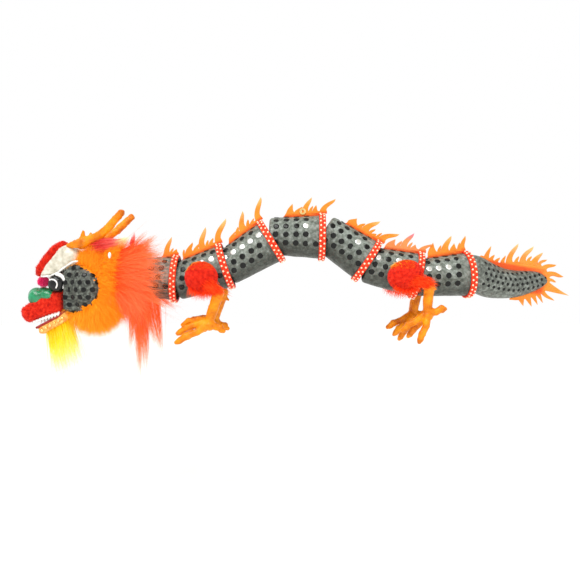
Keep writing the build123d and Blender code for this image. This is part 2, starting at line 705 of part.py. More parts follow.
HEAD_PIECES = {
    "head_shell": head_shell, "muzzle": muzzle, "nose": nose, "forehead": forehead, "crest": crest,
    "horns": horns, "eyes": eyes, "upper_teeth": upper_teeth, "lower_jaw": lower_jaw,
    "lower_teeth": lower_teeth, "beard": beard, "ruff": ruff, "mane": mane,
}
for name, piece in HEAD_PIECES.items():
    write(name, piece.part, MEMBERS[HEAD])
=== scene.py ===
import math

import bmesh
import bpy
import numpy as np
from mathutils import Matrix, Vector, noise
from mathutils.bvhtree import BVHTree


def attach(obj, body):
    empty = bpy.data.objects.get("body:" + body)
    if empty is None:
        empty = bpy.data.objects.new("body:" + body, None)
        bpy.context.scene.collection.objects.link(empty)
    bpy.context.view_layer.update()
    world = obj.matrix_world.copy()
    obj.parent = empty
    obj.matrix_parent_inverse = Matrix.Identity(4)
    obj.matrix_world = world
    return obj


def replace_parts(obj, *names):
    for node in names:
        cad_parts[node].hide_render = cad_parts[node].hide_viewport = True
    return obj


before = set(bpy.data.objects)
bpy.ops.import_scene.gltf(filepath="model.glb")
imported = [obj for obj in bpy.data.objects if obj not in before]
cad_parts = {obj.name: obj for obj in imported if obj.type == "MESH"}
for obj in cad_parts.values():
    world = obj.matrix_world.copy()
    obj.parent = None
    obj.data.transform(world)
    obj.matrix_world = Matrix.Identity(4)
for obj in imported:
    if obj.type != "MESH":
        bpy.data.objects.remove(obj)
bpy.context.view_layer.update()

# Sizes are in millimetres in each member's own frame, as in the CAD: origin at the pivot, +X towards the
# tail, +Z up.  place() turns them into metres in the row frame.
MM = 0.001
PIVOT_PITCH = 54.7
EYELET_X = 24.0
BEND = [-3, 21, 13, -32, -33, 22, 16, -13]
TURN = [0, 0, 0, 0, 0, 0, 9, 4]
MIDDLE, MIDDLE_PITCH = 4, -1.0
DRUM_REAR = 47.7
HIPS = {2: (20.5, -4.0), 6: (26.5, -3.5)}
THIGH_IN = {2: 23.4, 6: 25.8}


def drum_radius(x):
    return 19.0 + 4.0 * (x + 10.5) / 58.2


EYELET_Z = drum_radius(EYELET_X) + 5.2


def turned(pitch, turn=0.0, reach=0.0):
    return (Matrix.Translation((reach, 0, 0)) @ Matrix.Rotation(math.radians(turn), 4, "Z")
            @ Matrix.Rotation(math.radians(-pitch), 4, "Y"))


def member_frames():
    frames = {MIDDLE: turned(MIDDLE_PITCH) @ Matrix.Translation((-EYELET_X, 0, -EYELET_Z))}
    for k in range(MIDDLE, 8):
        frames[k + 1] = frames[k] @ turned(BEND[k], TURN[k], PIVOT_PITCH)
    for k in range(MIDDLE - 1, -1, -1):
        frames[k] = frames[k + 1] @ turned(BEND[k], TURN[k], PIVOT_PITCH if k else 0.0).inverted()
    return frames


FRAMES = member_frames()
HEAD, TAIL = 0, 8
BODY = {0: "head", 8: "tail", **{k: f"drum_{k}" for k in range(1, 8)}}


def hip_frame(k, side):
    hip_x, hip_z = HIPS[k]
    swing = math.radians(8.0) if (k, side) == (6, 1) else 0.0
    return Matrix.Translation(FRAMES[k] @ Vector((hip_x, 0, hip_z))) @ Matrix.Rotation(swing, 4, "Y")


# ---------------- materials
DOWN_GLOW = 0.14


def new_material(name):
    mat = bpy.data.materials.new(name)
    mat.use_nodes = True
    return mat, mat.node_tree.nodes["Principled BSDF"]


def feed(owner, node, inputs):
    """Each input gets a value or the socket that feeds it.  owner is a material or a world."""
    for key, value in inputs.items():
        if isinstance(value, bpy.types.NodeSocket):
            owner.node_tree.links.new(value, node.inputs[key])
        else:
            node.inputs[key].default_value = value


def add_node(owner, kind, inputs=None, **settings):
    node = owner.node_tree.nodes.new("ShaderNode" + kind)
    for key, value in settings.items():
        setattr(node, key, value)
    feed(owner, node, inputs or {})
    return node


def ramp(owner, source, stops):
    """source's value as a colour, through stops of (position, colour)."""
    node = add_node(owner, "ValToRGB", {"Fac": source})
    elements = node.color_ramp.elements
    while len(elements) < len(stops):
        elements.new(0.5)
    for element, (at, color) in zip(elements, stops):
        element.position = at
        element.color = (*color, 1.0)
    return node.outputs["Color"]


def mottled(mat, coords, scale, detail=4.0, rough=0.55):
    inputs = {"Vector": coords, "Scale": scale, "Detail": detail, "Roughness": rough}
    return add_node(mat, "TexNoise", inputs).outputs["Fac"]


def roughen(mat, bsdf, source, low, high):
    spread = add_node(mat, "MapRange", {"Value": source, "From Min": 0.3, "From Max": 0.7,
                                        "To Min": low, "To Max": high})
    feed(mat, bsdf, {"Roughness": spread.outputs["Result"]})


def emboss(mat, bsdf, source, height_mm):
    relief = add_node(mat, "Bump", {"Strength": 1.0, "Distance": height_mm * MM, "Height": source})
    feed(mat, bsdf, {"Normal": relief.outputs["Normal"]})


def surface(name, tones, grain_mm=6.0, rough=(0.4, 0.6), bump_mm=0.15, bump_grain_mm=0.8,
            metallic=0.0, sheen=0.0, coat=0.0, specular=0.5, voronoi=False):
    """A mottled surface: colour and roughness from one noise, fine relief from another."""
    mat, bsdf = new_material(name)
    coords = add_node(mat, "TexCoord").outputs["Object"]
    mottle = mottled(mat, coords, 1 / (grain_mm * MM))
    stops = [(0.3 + 0.4 * i / (len(tones) - 1), tone) for i, tone in enumerate(tones)]
    roughen(mat, bsdf, mottle, *rough)
    if voronoi:
        cells = add_node(mat, "TexVoronoi", {"Vector": coords, "Scale": 1 / (bump_grain_mm * MM)})
        emboss(mat, bsdf, cells.outputs["Distance"], bump_mm)
    else:
        emboss(mat, bsdf, mottled(mat, coords, 1 / (bump_grain_mm * MM), 5.0, 0.65), bump_mm)
    feed(mat, bsdf, {"Base Color": ramp(mat, mottle, stops), "Metallic": metallic, "Sheen Weight": sheen,
                     "Coat Weight": coat, "Specular IOR Level": specular})
    return mat


def strand_material(name, root, middle, tip, shade=0.35):
    """Hair or down: UV x runs from root to tip, UV y is each strand's own shade."""
    mat, bsdf = new_material(name)
    split = add_node(mat, "SeparateXYZ", {"Vector": add_node(mat, "UVMap").outputs["UV"]})
    value = add_node(mat, "MapRange", {"Value": split.outputs["Y"], "To Min": 1.0 - shade,
                                       "To Max": 1.0 + 0.5 * shade})
    along = ramp(mat, split.outputs["X"], [(0.0, root), (0.45, middle), (1.0, tip)])
    own = add_node(mat, "HueSaturation", {"Value": value.outputs["Result"], "Color": along}).outputs["Color"]
    # Down lets light through it, and a faint glow in its own colour stands in for that.
    feed(mat, bsdf, {"Base Color": own, "Roughness": 0.6, "Specular IOR Level": 0.10,
                     "Emission Color": own, "Emission Strength": DOWN_GLOW})
    return mat


def cloth_material(name):
    """Silvery brocade: UV x is centimetres along the member, and y radians round it from the bottom, where
    it is sewn shut.
    """
    mat, bsdf = new_material(name)
    uv = add_node(mat, "UVMap").outputs["UV"]
    coords = add_node(mat, "TexCoord").outputs["Object"]
    mottle = mottled(mat, coords, 260.0, 6.0, 0.7)
    tone = ramp(mat, mottle, [(0.28, (0.05, 0.058, 0.048)), (0.42, (0.13, 0.15, 0.125)),
                              (0.56, (0.24, 0.27, 0.24)), (0.72, (0.50, 0.55, 0.51))])
    # Painted shade: the cloth gets darker towards the bottom, where less light falls.
    split = add_node(mat, "SeparateXYZ", {"Vector": uv})
    distance = add_node(mat, "Math", {0: split.outputs["Y"]}, operation="ABSOLUTE")
    painted_shade = add_node(mat, "MapRange", {"Value": distance.outputs["Value"], "From Min": 0.62, "From Max": 1.75,
                                      "To Min": 1.0, "To Max": 0.0}, interpolation_type="SMOOTHSTEP")
    dark = add_node(mat, "Mix", {"Factor": painted_shade.outputs["Result"], "A": tone, "B": (0.26, 0.27, 0.25, 1.0)},
                    data_type="RGBA", blend_type="MULTIPLY")
    weave = add_node(mat, "TexWave", {"Vector": uv, "Scale": 9.0, "Distortion": 2.0},
                     wave_type="BANDS", bands_direction="DIAGONAL")
    fine = mottled(mat, coords, 1500.0, 3.0, 0.6)
    both = add_node(mat, "Math", {0: weave.outputs["Fac"], 1: fine}, operation="ADD")
    emboss(mat, bsdf, both.outputs["Value"], 0.16)
    roughen(mat, bsdf, mottle, 0.55, 0.32)
    feed(mat, bsdf, {"Base Color": dark.outputs["Result"], "Metallic": 0.35, "Specular IOR Level": 0.6})
    return mat


def felt_material(name, base, edge, tip):
    """Felt: UV y is the height above the fin's foot in centimetres."""
    mat, bsdf = new_material(name)
    split = add_node(mat, "SeparateXYZ", {"Vector": add_node(mat, "UVMap").outputs["UV"]})
    coords = add_node(mat, "TexCoord").outputs["Object"]
    fuzz = mottled(mat, coords, 500.0, 6.0, 0.7)
    scaled = add_node(mat, "Math", {0: split.outputs["Y"], 1: 0.40}, operation="MULTIPLY")
    height = add_node(mat, "Math", {0: fuzz, 1: 0.12, 2: scaled.outputs["Value"]}, operation="MULTIPLY_ADD")
    colors = ramp(mat, height.outputs["Value"], [(0.08, edge), (0.20, base), (0.55, base), (1.0, tip)])
    emboss(mat, bsdf, mottled(mat, coords, 1800.0, 4.0, 0.7), 0.35)
    roughen(mat, bsdf, fuzz, 0.8, 0.95)
    feed(mat, bsdf, {"Base Color": colors, "Sheen Weight": 0.5, "Specular IOR Level": 0.2})
    return mat


# ---------------- meshes
def place(points, matrix):
    """Points in a member's frame, in millimetres, to metres in the row frame."""
    m = np.array(matrix)
    points = np.asarray(points, dtype=float)
    return (points @ m[:3, :3].T + m[:3, 3]) * MM


def linked(name, data):
    obj = bpy.data.objects.new(name, data)
    bpy.context.scene.collection.objects.link(obj)
    return obj


def add_mesh(name, points, faces, matrix, body, mat, uv=None, smooth=True):
    mesh = bpy.data.meshes.new(name)
    mesh.from_pydata(place(points, matrix).tolist(), [], [list(map(int, f)) for f in faces])
    if uv is not None:
        layer = mesh.uv_layers.new(name="UVMap")
        index = np.empty(len(mesh.loops), dtype=int)
        mesh.loops.foreach_get("vertex_index", index)
        layer.data.foreach_set("uv", np.asarray(uv, dtype=float)[index].ravel())
    mesh.polygons.foreach_set("use_smooth", [smooth] * len(mesh.polygons))
    mesh.materials.append(mat)
    mesh.update()
    obj = linked(name, mesh)
    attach(obj, body)
    return obj


def grid_faces(rows, columns):
    """Faces of a grid of points that closes on itself both ways."""
    faces = []
    for i in range(rows):
        for j in range(columns):
            a, b = i * columns + j, i * columns + (j + 1) % columns
            c, d = ((i + 1) % rows) * columns + (j + 1) % columns, ((i + 1) % rows) * columns + j
            faces.append((a, b, c, d))
    return faces


def joined(parts):
    """Several (points, faces) as one."""
    points, faces, start = [], [], 0
    for part_points, part_faces in parts:
        points.append(np.asarray(part_points, dtype=float))
        faces.extend([[index + start for index in face] for face in part_faces])
        start += len(part_points)
    return np.concatenate(points), faces


def take_over(piece, node):
    """piece stands in for a CAD node."""
    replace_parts(piece, node)
    return piece


def add_parts(name, parts, matrix, body, mat):
    points, faces = joined(parts)
    return add_mesh(name, points, faces, matrix, body, mat)


def dome_faces(rings, sides):
    """Faces of a top point and the rings of points below it."""
    faces = [(0, 1 + j, 1 + (j + 1) % sides) for j in range(sides)]
    for ring in range(rings - 1):
        for j in range(sides):
            a, b = 1 + ring * sides + j, 1 + ring * sides + (j + 1) % sides
            faces.append((a, a + sides, b + sides, b))
    return faces


def ball(centre, radii, segments=12, rings=8):
    centre, radii = np.array(centre, dtype=float), np.array(radii, dtype=float)
    points = [centre + radii * (0, 0, 1)]
    for i in range(1, rings):
        a = math.pi * i / rings
        for j in range(segments):
            b = 2 * math.pi * j / segments
            outward = (math.sin(a) * math.cos(b), math.sin(a) * math.sin(b), math.cos(a))
            points.append(centre + radii * outward)
    points.append(centre - radii * (0, 0, 1))
    faces = dome_faces(rings - 1, segments)
    last, foot = len(points) - 1, 1 + (rings - 2) * segments
    faces += [(foot + j, last, foot + (j + 1) % segments) for j in range(segments)]
    return points, faces


def disc(centre, normal, radius, thick, sides=14):
    """A shallow domed sequin lying across normal."""
    normal = Vector(normal).normalized()
    across = normal.orthogonal().normalized()
    along = normal.cross(across)
    centre = Vector(centre)
    points = [centre + normal * thick * 1.5]
    for lift, reach in ((1.3, 0.55), (1.0, 0.92), (0.0, 1.0)):
        for j in range(sides):
            a = 2 * math.pi * j / sides
            points.append(centre + normal * thick * lift
                          + (across * math.cos(a) + along * math.sin(a)) * radius * reach)
    return [tuple(p) for p in points], dome_faces(3, sides)


def on_drum(x, angle, lift=0.0):
    """A point on a drum's cloth: angle is from the bottom, up the near side."""
    r = drum_radius(x) + lift
    return (x, -r * math.sin(angle), -r * math.cos(angle))


def ring_surface(profile, steps, wobble=0.0, seed=0.0):
    """A closed profile of (x, radius) turned about +X, with its UV in centimetres and radians."""
    points, uv = [], []
    for i in range(steps):
        angle = -math.pi + 2 * math.pi * i / steps
        for x, r in profile:
            where = Vector((x * 0.09, 2.2 * math.cos(angle) + seed, 2.2 * math.sin(angle)))
            shift = wobble * noise.noise(where)
            points.append((x, -(r + shift) * math.sin(angle), -(r + shift) * math.cos(angle)))
            uv.append((x / 10, angle))
    return points, grid_faces(steps, len(profile)), uv


def strands(name, roots, directions, lengths, width, matrix, body, mat, droop=0.0, curl=0.1,
            segments=4, seed=1):
    """Hairs as narrow tapering ribbons.  droop bends them down, curl waves them sideways."""
    rng = np.random.default_rng(seed)
    roots, directions = np.asarray(roots, float), np.asarray(directions, float)
    directions = directions / np.linalg.norm(directions, axis=1, keepdims=True)
    count = len(roots)
    lengths = np.broadcast_to(np.asarray(lengths, float), (count,))
    across = np.cross(directions, rng.normal(size=(count, 3)))
    across /= np.linalg.norm(across, axis=1, keepdims=True)
    wave = np.cross(directions, across)
    t = np.linspace(0, 1, segments + 1)
    down = np.array((0.0, 0.0, -1.0))
    phase = rng.uniform(0, 2 * math.pi, count)
    line = (roots[:, None] + directions[:, None] * (lengths[:, None] * t)[..., None]
            + down * (droop * lengths[:, None] * t ** 2)[..., None]
            + wave[:, None] * (curl * lengths[:, None] * t
                               * np.sin(4.0 * t + phase[:, None]))[..., None])
    half = across[:, None] * (0.5 * width * (1.02 - t ** 1.5))[None, :, None]
    points = np.stack([line - half, line + half], axis=2).reshape(-1, 3)
    own = rng.uniform(0, 1, count)
    uv = np.stack([np.broadcast_to(t[None, :, None], (count, segments + 1, 2)),
                   np.broadcast_to(own[:, None, None], (count, segments + 1, 2))], axis=3).reshape(-1, 2)
    start = (np.arange(count)[:, None] * (segments + 1) + np.arange(segments)[None, :]).reshape(-1) * 2
    faces = np.stack([start, start + 1, start + 3, start + 2], axis=1)
    return add_mesh(name, points, faces.tolist(), matrix, body, mat, uv=uv)


def bezier(p0, p1, p2, p3, count=9):
    t = np.linspace(0, 1, count)[:, None]
    p0, p1, p2, p3 = (np.array(p, float) for p in (p0, p1, p2, p3))
    return (1 - t) ** 3 * p0 + 3 * t * (1 - t) ** 2 * p1 + 3 * t ** 2 * (1 - t) * p2 + t ** 3 * p3


def flame(start, end, tip):
    """One flame from start to end with a curled tip."""
    start, end, tip = (np.array(p, float) for p in (start, end, tip))
    middle = (start + end) / 2
    rise = tip - middle
    along = (end - start) / max(np.linalg.norm(end - start), 1e-6)
    up = np.array((-along[1], along[0]))
    height, lean = float(rise @ up), float(rise @ along)
    width = float(np.linalg.norm(end - start))
    # The side that the tip leans away from is the hollow one.
    ahead, behind = (0.62, 0.10) if lean > 0 else (0.10, 0.62)
    leading = bezier(start, start + up * 0.46 * height + along * (0.14 * width + 0.06 * lean),
                     tip - up * 0.26 * height - along * (ahead * lean + 0.5), tip)
    trailing = bezier(tip, tip - up * 0.36 * height - along * (behind * lean - 1.1),
                      end + up * 0.38 * height - along * 0.30 * width, end)
    return [tuple(p) for p in leading] + [tuple(p) for p in trailing[1:]]


# Felt cut-outs: thickness, rounding of the rim, and the longest edge that stays whole, in millimetres.
FELT_THICK, FELT_ROUNDING, FELT_EDGE = 1.2, 0.3, 3.0


def felt_piece(name, outline, foot, matrix, body, mat, seed):
    """A flat felt cut-out in the member's middle plane.  foot(x, z) is a point's height above its foot."""
    curve = bpy.data.curves.new(name, "CURVE")
    curve.dimensions = "2D"
    curve.fill_mode = "BOTH"
    curve.extrude = FELT_THICK / 2 - FELT_ROUNDING
    curve.bevel_depth = FELT_ROUNDING
    curve.bevel_resolution = 1
    spline = curve.splines.new("POLY")
    spline.points.add(len(outline) - 1)
    for point, (x, z) in zip(spline.points, outline):
        point.co = (x, z, 0, 1)
    spline.use_cyclic_u = True
    carrier = linked(name + "_outline", curve)
    flat = bpy.data.meshes.new_from_object(carrier)
    bpy.data.objects.remove(carrier)
    bm = bmesh.new()
    bm.from_mesh(flat)
    bmesh.ops.remove_doubles(bm, verts=bm.verts, dist=0.01)
    bmesh.ops.triangulate(bm, faces=bm.faces)
    long_edges = [e for e in bm.edges if e.calc_length() > FELT_EDGE]
    bmesh.ops.subdivide_edges(bm, edges=long_edges, cuts=2)
    bmesh.ops.triangulate(bm, faces=bm.faces)
    points, uv = [], []
    for v in bm.verts:
        x, z, y = v.co
        height = max(foot(x, z), 0.0)
        sway = 1.6 * noise.noise(Vector((x * 0.10, z * 0.06, seed))) * min(height / 8, 1.6)
        points.append((x, y + sway, z))
        uv.append((x / 10, height / 10))
    faces = [[v.index for v in f.verts] for f in bm.faces]
    bm.free()
    bpy.data.meshes.remove(flat)
    return add_mesh(name, points, faces, matrix, body, mat, uv=uv, smooth=False)


def organic(name, parts, matrix, body, mat, voxel, smooth, rough_mm=0.0, seed=0.0):
    """Overlapping lumps, each (points, faces), melted into one smooth skin."""
    points, faces = joined(parts)
    mesh = bpy.data.meshes.new(name + "_lumps")
    mesh.from_pydata(points.tolist(), [], faces)
    carrier = linked(name + "_lumps", mesh)
    remesh = carrier.modifiers.new("remesh", "REMESH")
    remesh.mode = "VOXEL"
    remesh.voxel_size = voxel
    relax = carrier.modifiers.new("relax", "SMOOTH")
    relax.factor = 0.5
    relax.iterations = smooth
    skin = bpy.data.meshes.new_from_object(carrier.evaluated_get(bpy.context.evaluated_depsgraph_get()))
    bpy.data.objects.remove(carrier)
    skin_points = np.array([tuple(v.co) for v in skin.vertices])
    if rough_mm:
        normals = np.array([tuple(v.normal) for v in skin.vertices])
        lift = np.array([noise.noise(Vector(p) * 0.35 + Vector((seed, 0, 0))) for p in skin_points])
        skin_points += normals * (rough_mm * lift)[:, None]
    skin_faces = [list(p.vertices) for p in skin.polygons]
    bpy.data.meshes.remove(skin)
    return add_mesh(name, skin_points, skin_faces, matrix, body, mat)


def melted(name, node, parts, at, mat, voxel, smooth, rough_mm=0.0, seed=0.0):
    """An organic piece in place of a CAD node.  at is its (matrix, body)."""
    return take_over(organic(name, parts, *at, mat, voxel, smooth, rough_mm, seed), node)


def cone_run(a, b, ra, rb, sides=12):
    """A closed tapered bar."""
    a, b = Vector(a), Vector(b)
    axis = (b - a).normalized()
    across = axis.orthogonal().normalized()
    up = axis.cross(across)
    angles = [2 * math.pi * j / sides for j in range(sides)]
    points = [tuple(c + (across * math.cos(angle) + up * math.sin(angle)) * r)
              for c, r in ((a, ra), (b, rb)) for angle in angles]
    faces = [(j, (j + 1) % sides, sides + (j + 1) % sides, sides + j) for j in range(sides)]
    faces += [tuple(range(sides - 1, -1, -1)), tuple(range(sides, 2 * sides))]
    return points, faces


def limb(a, b, ra, rb):
    return [cone_run(a, b, ra, rb), ball(a, (ra, ra, ra)), ball(b, (rb, rb, rb))]


def side_slab(outline, half_width, inset=1.5):
    """A slab with this side outline, its two sides drawn in by inset."""
    outline = np.array(outline, float)
    centre = outline.mean(axis=0)
    inner = centre + (outline - centre) * (1 - inset / np.linalg.norm(outline - centre, axis=1).mean())
    count = len(outline)
    rows = [(inner, -half_width), (outline, -half_width + inset),
            (outline, half_width - inset), (inner, half_width)]
    points = [(x, y, z) for row, y in rows for x, z in row]
    faces = [(i + j, i + (j + 1) % count, i + count + (j + 1) % count, i + count + j)
             for i in range(0, 3 * count, count) for j in range(count)]
    faces += [tuple(range(count - 1, -1, -1)), tuple(range(3 * count, 4 * count))]
    return points, faces


def tube(path, radius, sides=8):
    """A round bead of trim along a path, as overlapping runs."""
    parts = []
    for a, b in zip(path, path[1:]):
        parts.append(cone_run(a, b, radius, radius, sides))
        parts.append(ball(b, (radius, radius, radius), sides, 6))
    parts.append(ball(path[0], (radius, radius, radius), sides, 6))
    return parts


def scatter(skin, count, seed, keep=None):
    """Evenly random points on a skin of (points, faces), with their outward normals."""
    points, faces = np.asarray(skin[0], float), skin[1]
    triangles = np.array([(f[0], f[i], f[i + 1]) for f in faces for i in range(1, len(f) - 1)])
    a, b, c = points[triangles[:, 0]], points[triangles[:, 1]], points[triangles[:, 2]]
    cross = np.cross(b - a, c - a)
    area = np.linalg.norm(cross, axis=1)
    rng = np.random.default_rng(seed)
    chosen = rng.choice(len(triangles), count, p=area / area.sum())
    u, v = rng.uniform(0, 1, (2, count, 1))
    over = (u + v) > 1
    u, v = np.where(over, 1 - u, u), np.where(over, 1 - v, v)
    where = a[chosen] + (b - a)[chosen] * u + (c - a)[chosen] * v
    normals = cross[chosen] / area[chosen][:, None]
    if keep is not None:
        kept = np.array([keep(p) for p in where])
        where, normals = where[kept], normals[kept]
    return where, normals


def skin_of(obj, matrix):
    """A made piece's mesh as (points, faces) back in its member's frame, in millimetres."""
    inverse = np.array(matrix.inverted())
    points = np.array([tuple(v.co) for v in obj.data.vertices]) / MM
    return points @ inverse[:3, :3].T + inverse[:3, 3], [list(p.vertices) for p in obj.data.polygons]


def pile(name, obj, matrix, body, mat, count, length, width, seed, keep=None, lean=(0, 0, 0), wild=0.4):
    """A short pile over a made piece."""
    roots, normals = scatter(skin_of(obj, matrix), count, seed, keep)
    rng = np.random.default_rng(seed + 1)
    directions = normals + np.array(lean) + rng.normal(0, wild, normals.shape)
    lengths = length * rng.uniform(0.6, 1.2, len(roots))
    return strands(name, roots - normals * 0.2, directions, lengths, width, matrix, body, mat,
                   droop=0.05, curl=0.12, segments=2, seed=seed + 2)


def ray_target(obj, matrix):
    """An object's mesh for ray casts in its member's frame, in millimetres."""
    points, faces = skin_of(obj, matrix)
    return BVHTree.FromPolygons([tuple(p) for p in points], faces)


def stuck_discs(target, spots, side, radius, thick, seed):
    """Discs stuck where rays from one side, started well outside, meet a surface."""
    rng = np.random.default_rng(seed)
    discs = []
    for x, z in spots:
        hit, normal, _, _ = target.ray_cast(Vector((x, side * 90.0, z)), Vector((0, -side, 0)))
        if hit is None or side * normal.y < 0.2:
            continue
        discs.append(disc(hit + normal * 0.05, normal + Vector(rng.normal(0, 0.05, 3)), radius, thick, 12))
    return discs


def paint(node, mat):
    """A carried-over CAD node gets one of the looks above."""
    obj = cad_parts[node]
    obj.data.materials.clear()
    obj.data.materials.append(mat)


# ---------------- the dragon's looks
AT_HEAD = (FRAMES[HEAD], BODY[HEAD])
AT_JAW = (FRAMES[HEAD], "jaw")
AT_TAIL = (FRAMES[TAIL], BODY[TAIL])
# The dragon's left side, towards the camera, comes first.
SIDES = (-1, 1)
# Widths of the strands, in millimetres.
PILE_WIDTH, DOWN_WIDTH, FUR_WIDTH, TUFT_WIDTH = 0.30, 0.34, 0.42, 0.32

cloth = cloth_material("brocade")
sequin_black = surface("sequin_black", [(0.003, 0.003, 0.003), (0.009, 0.010, 0.009)], 20, (0.12, 0.20),
                       0.01, specular=0.22)
# Silver sequins are painted glints, standing in for black sequins that catch the light.
painted_glint_sequin = surface("painted_glint_sequin", [(0.80, 0.82, 0.80), (0.95, 0.97, 0.95)], 9, (0.15, 0.25), 0.01,
                        metallic=0.8)
braid = surface("red_braid", [(0.55, 0.012, 0.004), (0.86, 0.04, 0.010), (0.95, 0.10, 0.02)], 2.2,
                (0.5, 0.7), 0.35, 0.9, specular=0.2, voronoi=True)
pearl = surface("pearl", [(0.92, 0.62, 0.36), (1.0, 0.88, 0.68)], 4, (0.15, 0.3), 0.02, coat=0.5)
felt = felt_material("orange_felt", (0.96, 0.27, 0.022), (0.80, 0.09, 0.006), (0.98, 0.50, 0.20))
pink_felt = felt_material("pink_felt", (0.92, 0.28, 0.08), (0.72, 0.08, 0.01), (0.86, 0.13, 0.36))
black_plastic = surface("black_plastic", [(0.02, 0.02, 0.02), (0.05, 0.05, 0.05)], 9, (0.4, 0.6), 0.05)
brass = surface("brass", [(0.55, 0.36, 0.12), (0.85, 0.62, 0.28)], 3, (0.2, 0.35), 0.03, metallic=1.0)
orange_plastic = surface("orange_plastic", [(0.52, 0.11, 0.0), (0.76, 0.22, 0.0), (0.90, 0.33, 0.004)], 9,
                         (0.30, 0.48), 0.30, 1.6, coat=0.06, specular=0.22)
plush_red = surface("plush_red", [(0.40, 0.006, 0.004), (0.72, 0.022, 0.008), (0.85, 0.05, 0.02)], 3,
                    (0.8, 0.95), 0.6, 0.5, sheen=0.1, specular=0.1)
pile_red = strand_material("pile_red", (0.40, 0.006, 0.004), (0.75, 0.02, 0.008), (0.95, 0.07, 0.03))

# ---------------- drums
# Each drum's flames, as (foot's start, foot's end, tip's x, tip's z).
FLAMES = {
    1: [(31, 37, 38, 43), (40, 46, 44, 31)],
    2: [(8, 17, 19, 34), (24, 31, 37, 45), (35, 40, 41, 32), (42, 49, 60, 47)],
    3: [(8, 16, 17, 28), (22, 30, 35, 42), (35, 40, 41, 30), (42, 49, 59, 45)],
    4: [(7, 15, 13, 34), (23, 30, 33, 41), (34, 40, 38, 33), (42, 49, 58, 40)],
    5: [(5, 16, 11, 31), (21, 29, 33, 42), (33, 38, 37, 29), (41, 49, 57, 42)],
    6: [(7, 17, 15, 32), (22, 29, 33, 42), (33, 40, 37, 31), (42, 49, 54, 35)],
    7: [(4, 14, 10, 35), (18, 27, 31, 41), (28, 36, 33, 33), (39, 45, 46, 40)],
}
FIN_START = {1: 28, 2: 3, 3: 4, 4: 3, 5: 3, 6: 4, 7: 2}
FIN_HEIGHT = 4.6
PINK_FIN = 6
# The sequins' spacing along a drum, and each row's shift from the one before, in millimetres.
SEQUIN_PITCH = 10.3
ROW_SHIFT = {1: 2.5, 2: 3.5, 3: 4.5, 4: 0.2, 5: 4.0, 6: 2.0, 7: 1.0}
# Some sequins of the row above each flank's middle are silver: painted glints where the black sequins catch
# the light.
BRIGHT_ROWS = (2, 7)
BRIGHT_SHARE = {1: 0.0, 2: 0.3, 3: 0.95, 4: 0.35, 5: 0.6, 6: 0.4, 7: 0.6}
# The braid's closed profile, as (x, radius), and its two rows of pearls.
BRAID = [(41.0, 22.6), (41.1, 24.1), (41.7, 24.75), (42.8, 24.85), (44.0, 24.45), (44.7, 24.3),
         (45.4, 24.5), (46.4, 24.9), (47.3, 24.7), (47.9, 24.0), (48.0, 22.8), (47.6, 22.2), (44, 22.6)]
PEARLS_ROUND, PEARL_RING_R, PEARL_R = 28, 24.7, 1.05


def fin_foot(x):
    return max(drum_radius(x), 25.1 if x > 40.9 else 0.0)


def fin_outline(k):
    start = FIN_START[k]
    outline = [(start, drum_radius(start) - 0.4), (start + 2, drum_radius(start) + 1.5)]
    previous = start + 2.2
    for root_start, root_end, tip_x, tip_z in FLAMES[k]:
        if root_start - previous > 2.5:
            # A small flame fills the gap before each large one.
            foot = drum_radius(previous) + FIN_HEIGHT
            outline += flame((previous + 0.3, foot), (root_start - 0.3, foot),
                             (root_start + 0.4, foot + 4.6 + 0.3 * k))
        previous = root_end
        outline += flame((root_start, drum_radius(root_start) + FIN_HEIGHT),
                         (root_end, drum_radius(root_end) + FIN_HEIGHT), (tip_x, tip_z))
    end = FLAMES[k][-1][1]
    outline += [(end + 0.3, 27.0), (end + 0.2, 25.0), (41.0, 25.0), (40.8, drum_radius(40.8) - 0.4)]
    outline += [(x, drum_radius(x) - 0.4) for x in range(38, int(start), -4)]
    return outline


def drum_cloth(k, at):
    profile = [(-9.3, 15.0), (-10.4, 15.1), (-10.5, 16.2), (-9.9, 17.7), (-8.7, 18.8), (-6.9, 19.25)]
    profile += [(x, drum_radius(x)) for x in np.linspace(-4, DRUM_REAR, 22)] + [(DRUM_REAR, 22.0)]
    profile += [(x, drum_radius(x) - 1.2) for x in np.linspace(40, -6.9, 6)] + [(-8.6, 16.9)]
    points, faces, uv = ring_surface(profile, 96, wobble=0.35, seed=k * 3.7)
    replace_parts(add_mesh(f"drum_{k}_cloth", points, faces, *at, cloth, uv=uv), f"drum_{k}_shell")


def drum_sequins(k, at, rng):
    dark, bright = [], []
    for row in range(10):
        angle = math.radians(68 + 24.9 * row)
        offset = (-3.6 + ROW_SHIFT[k] * row) % SEQUIN_PITCH
        for column in range(-1, 5):
            x = offset + SEQUIN_PITCH * column + rng.normal(0, 0.25)
            if not -6.0 < x < 37.8:
                continue
            point = Vector(on_drum(x, angle + rng.normal(0, 0.012), 0.12))
            normal = Vector((-0.07, point.y, point.z)).normalized() + Vector(rng.normal(0, 0.05, 3))
            # A silver sequin here is a painted glint.
            chosen = bright if row in BRIGHT_ROWS and rng.uniform() < BRIGHT_SHARE[k] else dark
            chosen.append(disc(point, normal, 3.05, 0.22))
    for name, parts, mat in (("sequins", dark, sequin_black), ("sequins_painted_glint", bright, painted_glint_sequin)):
        if parts:
            add_parts(f"drum_{k}_{name}", parts, *at, mat)


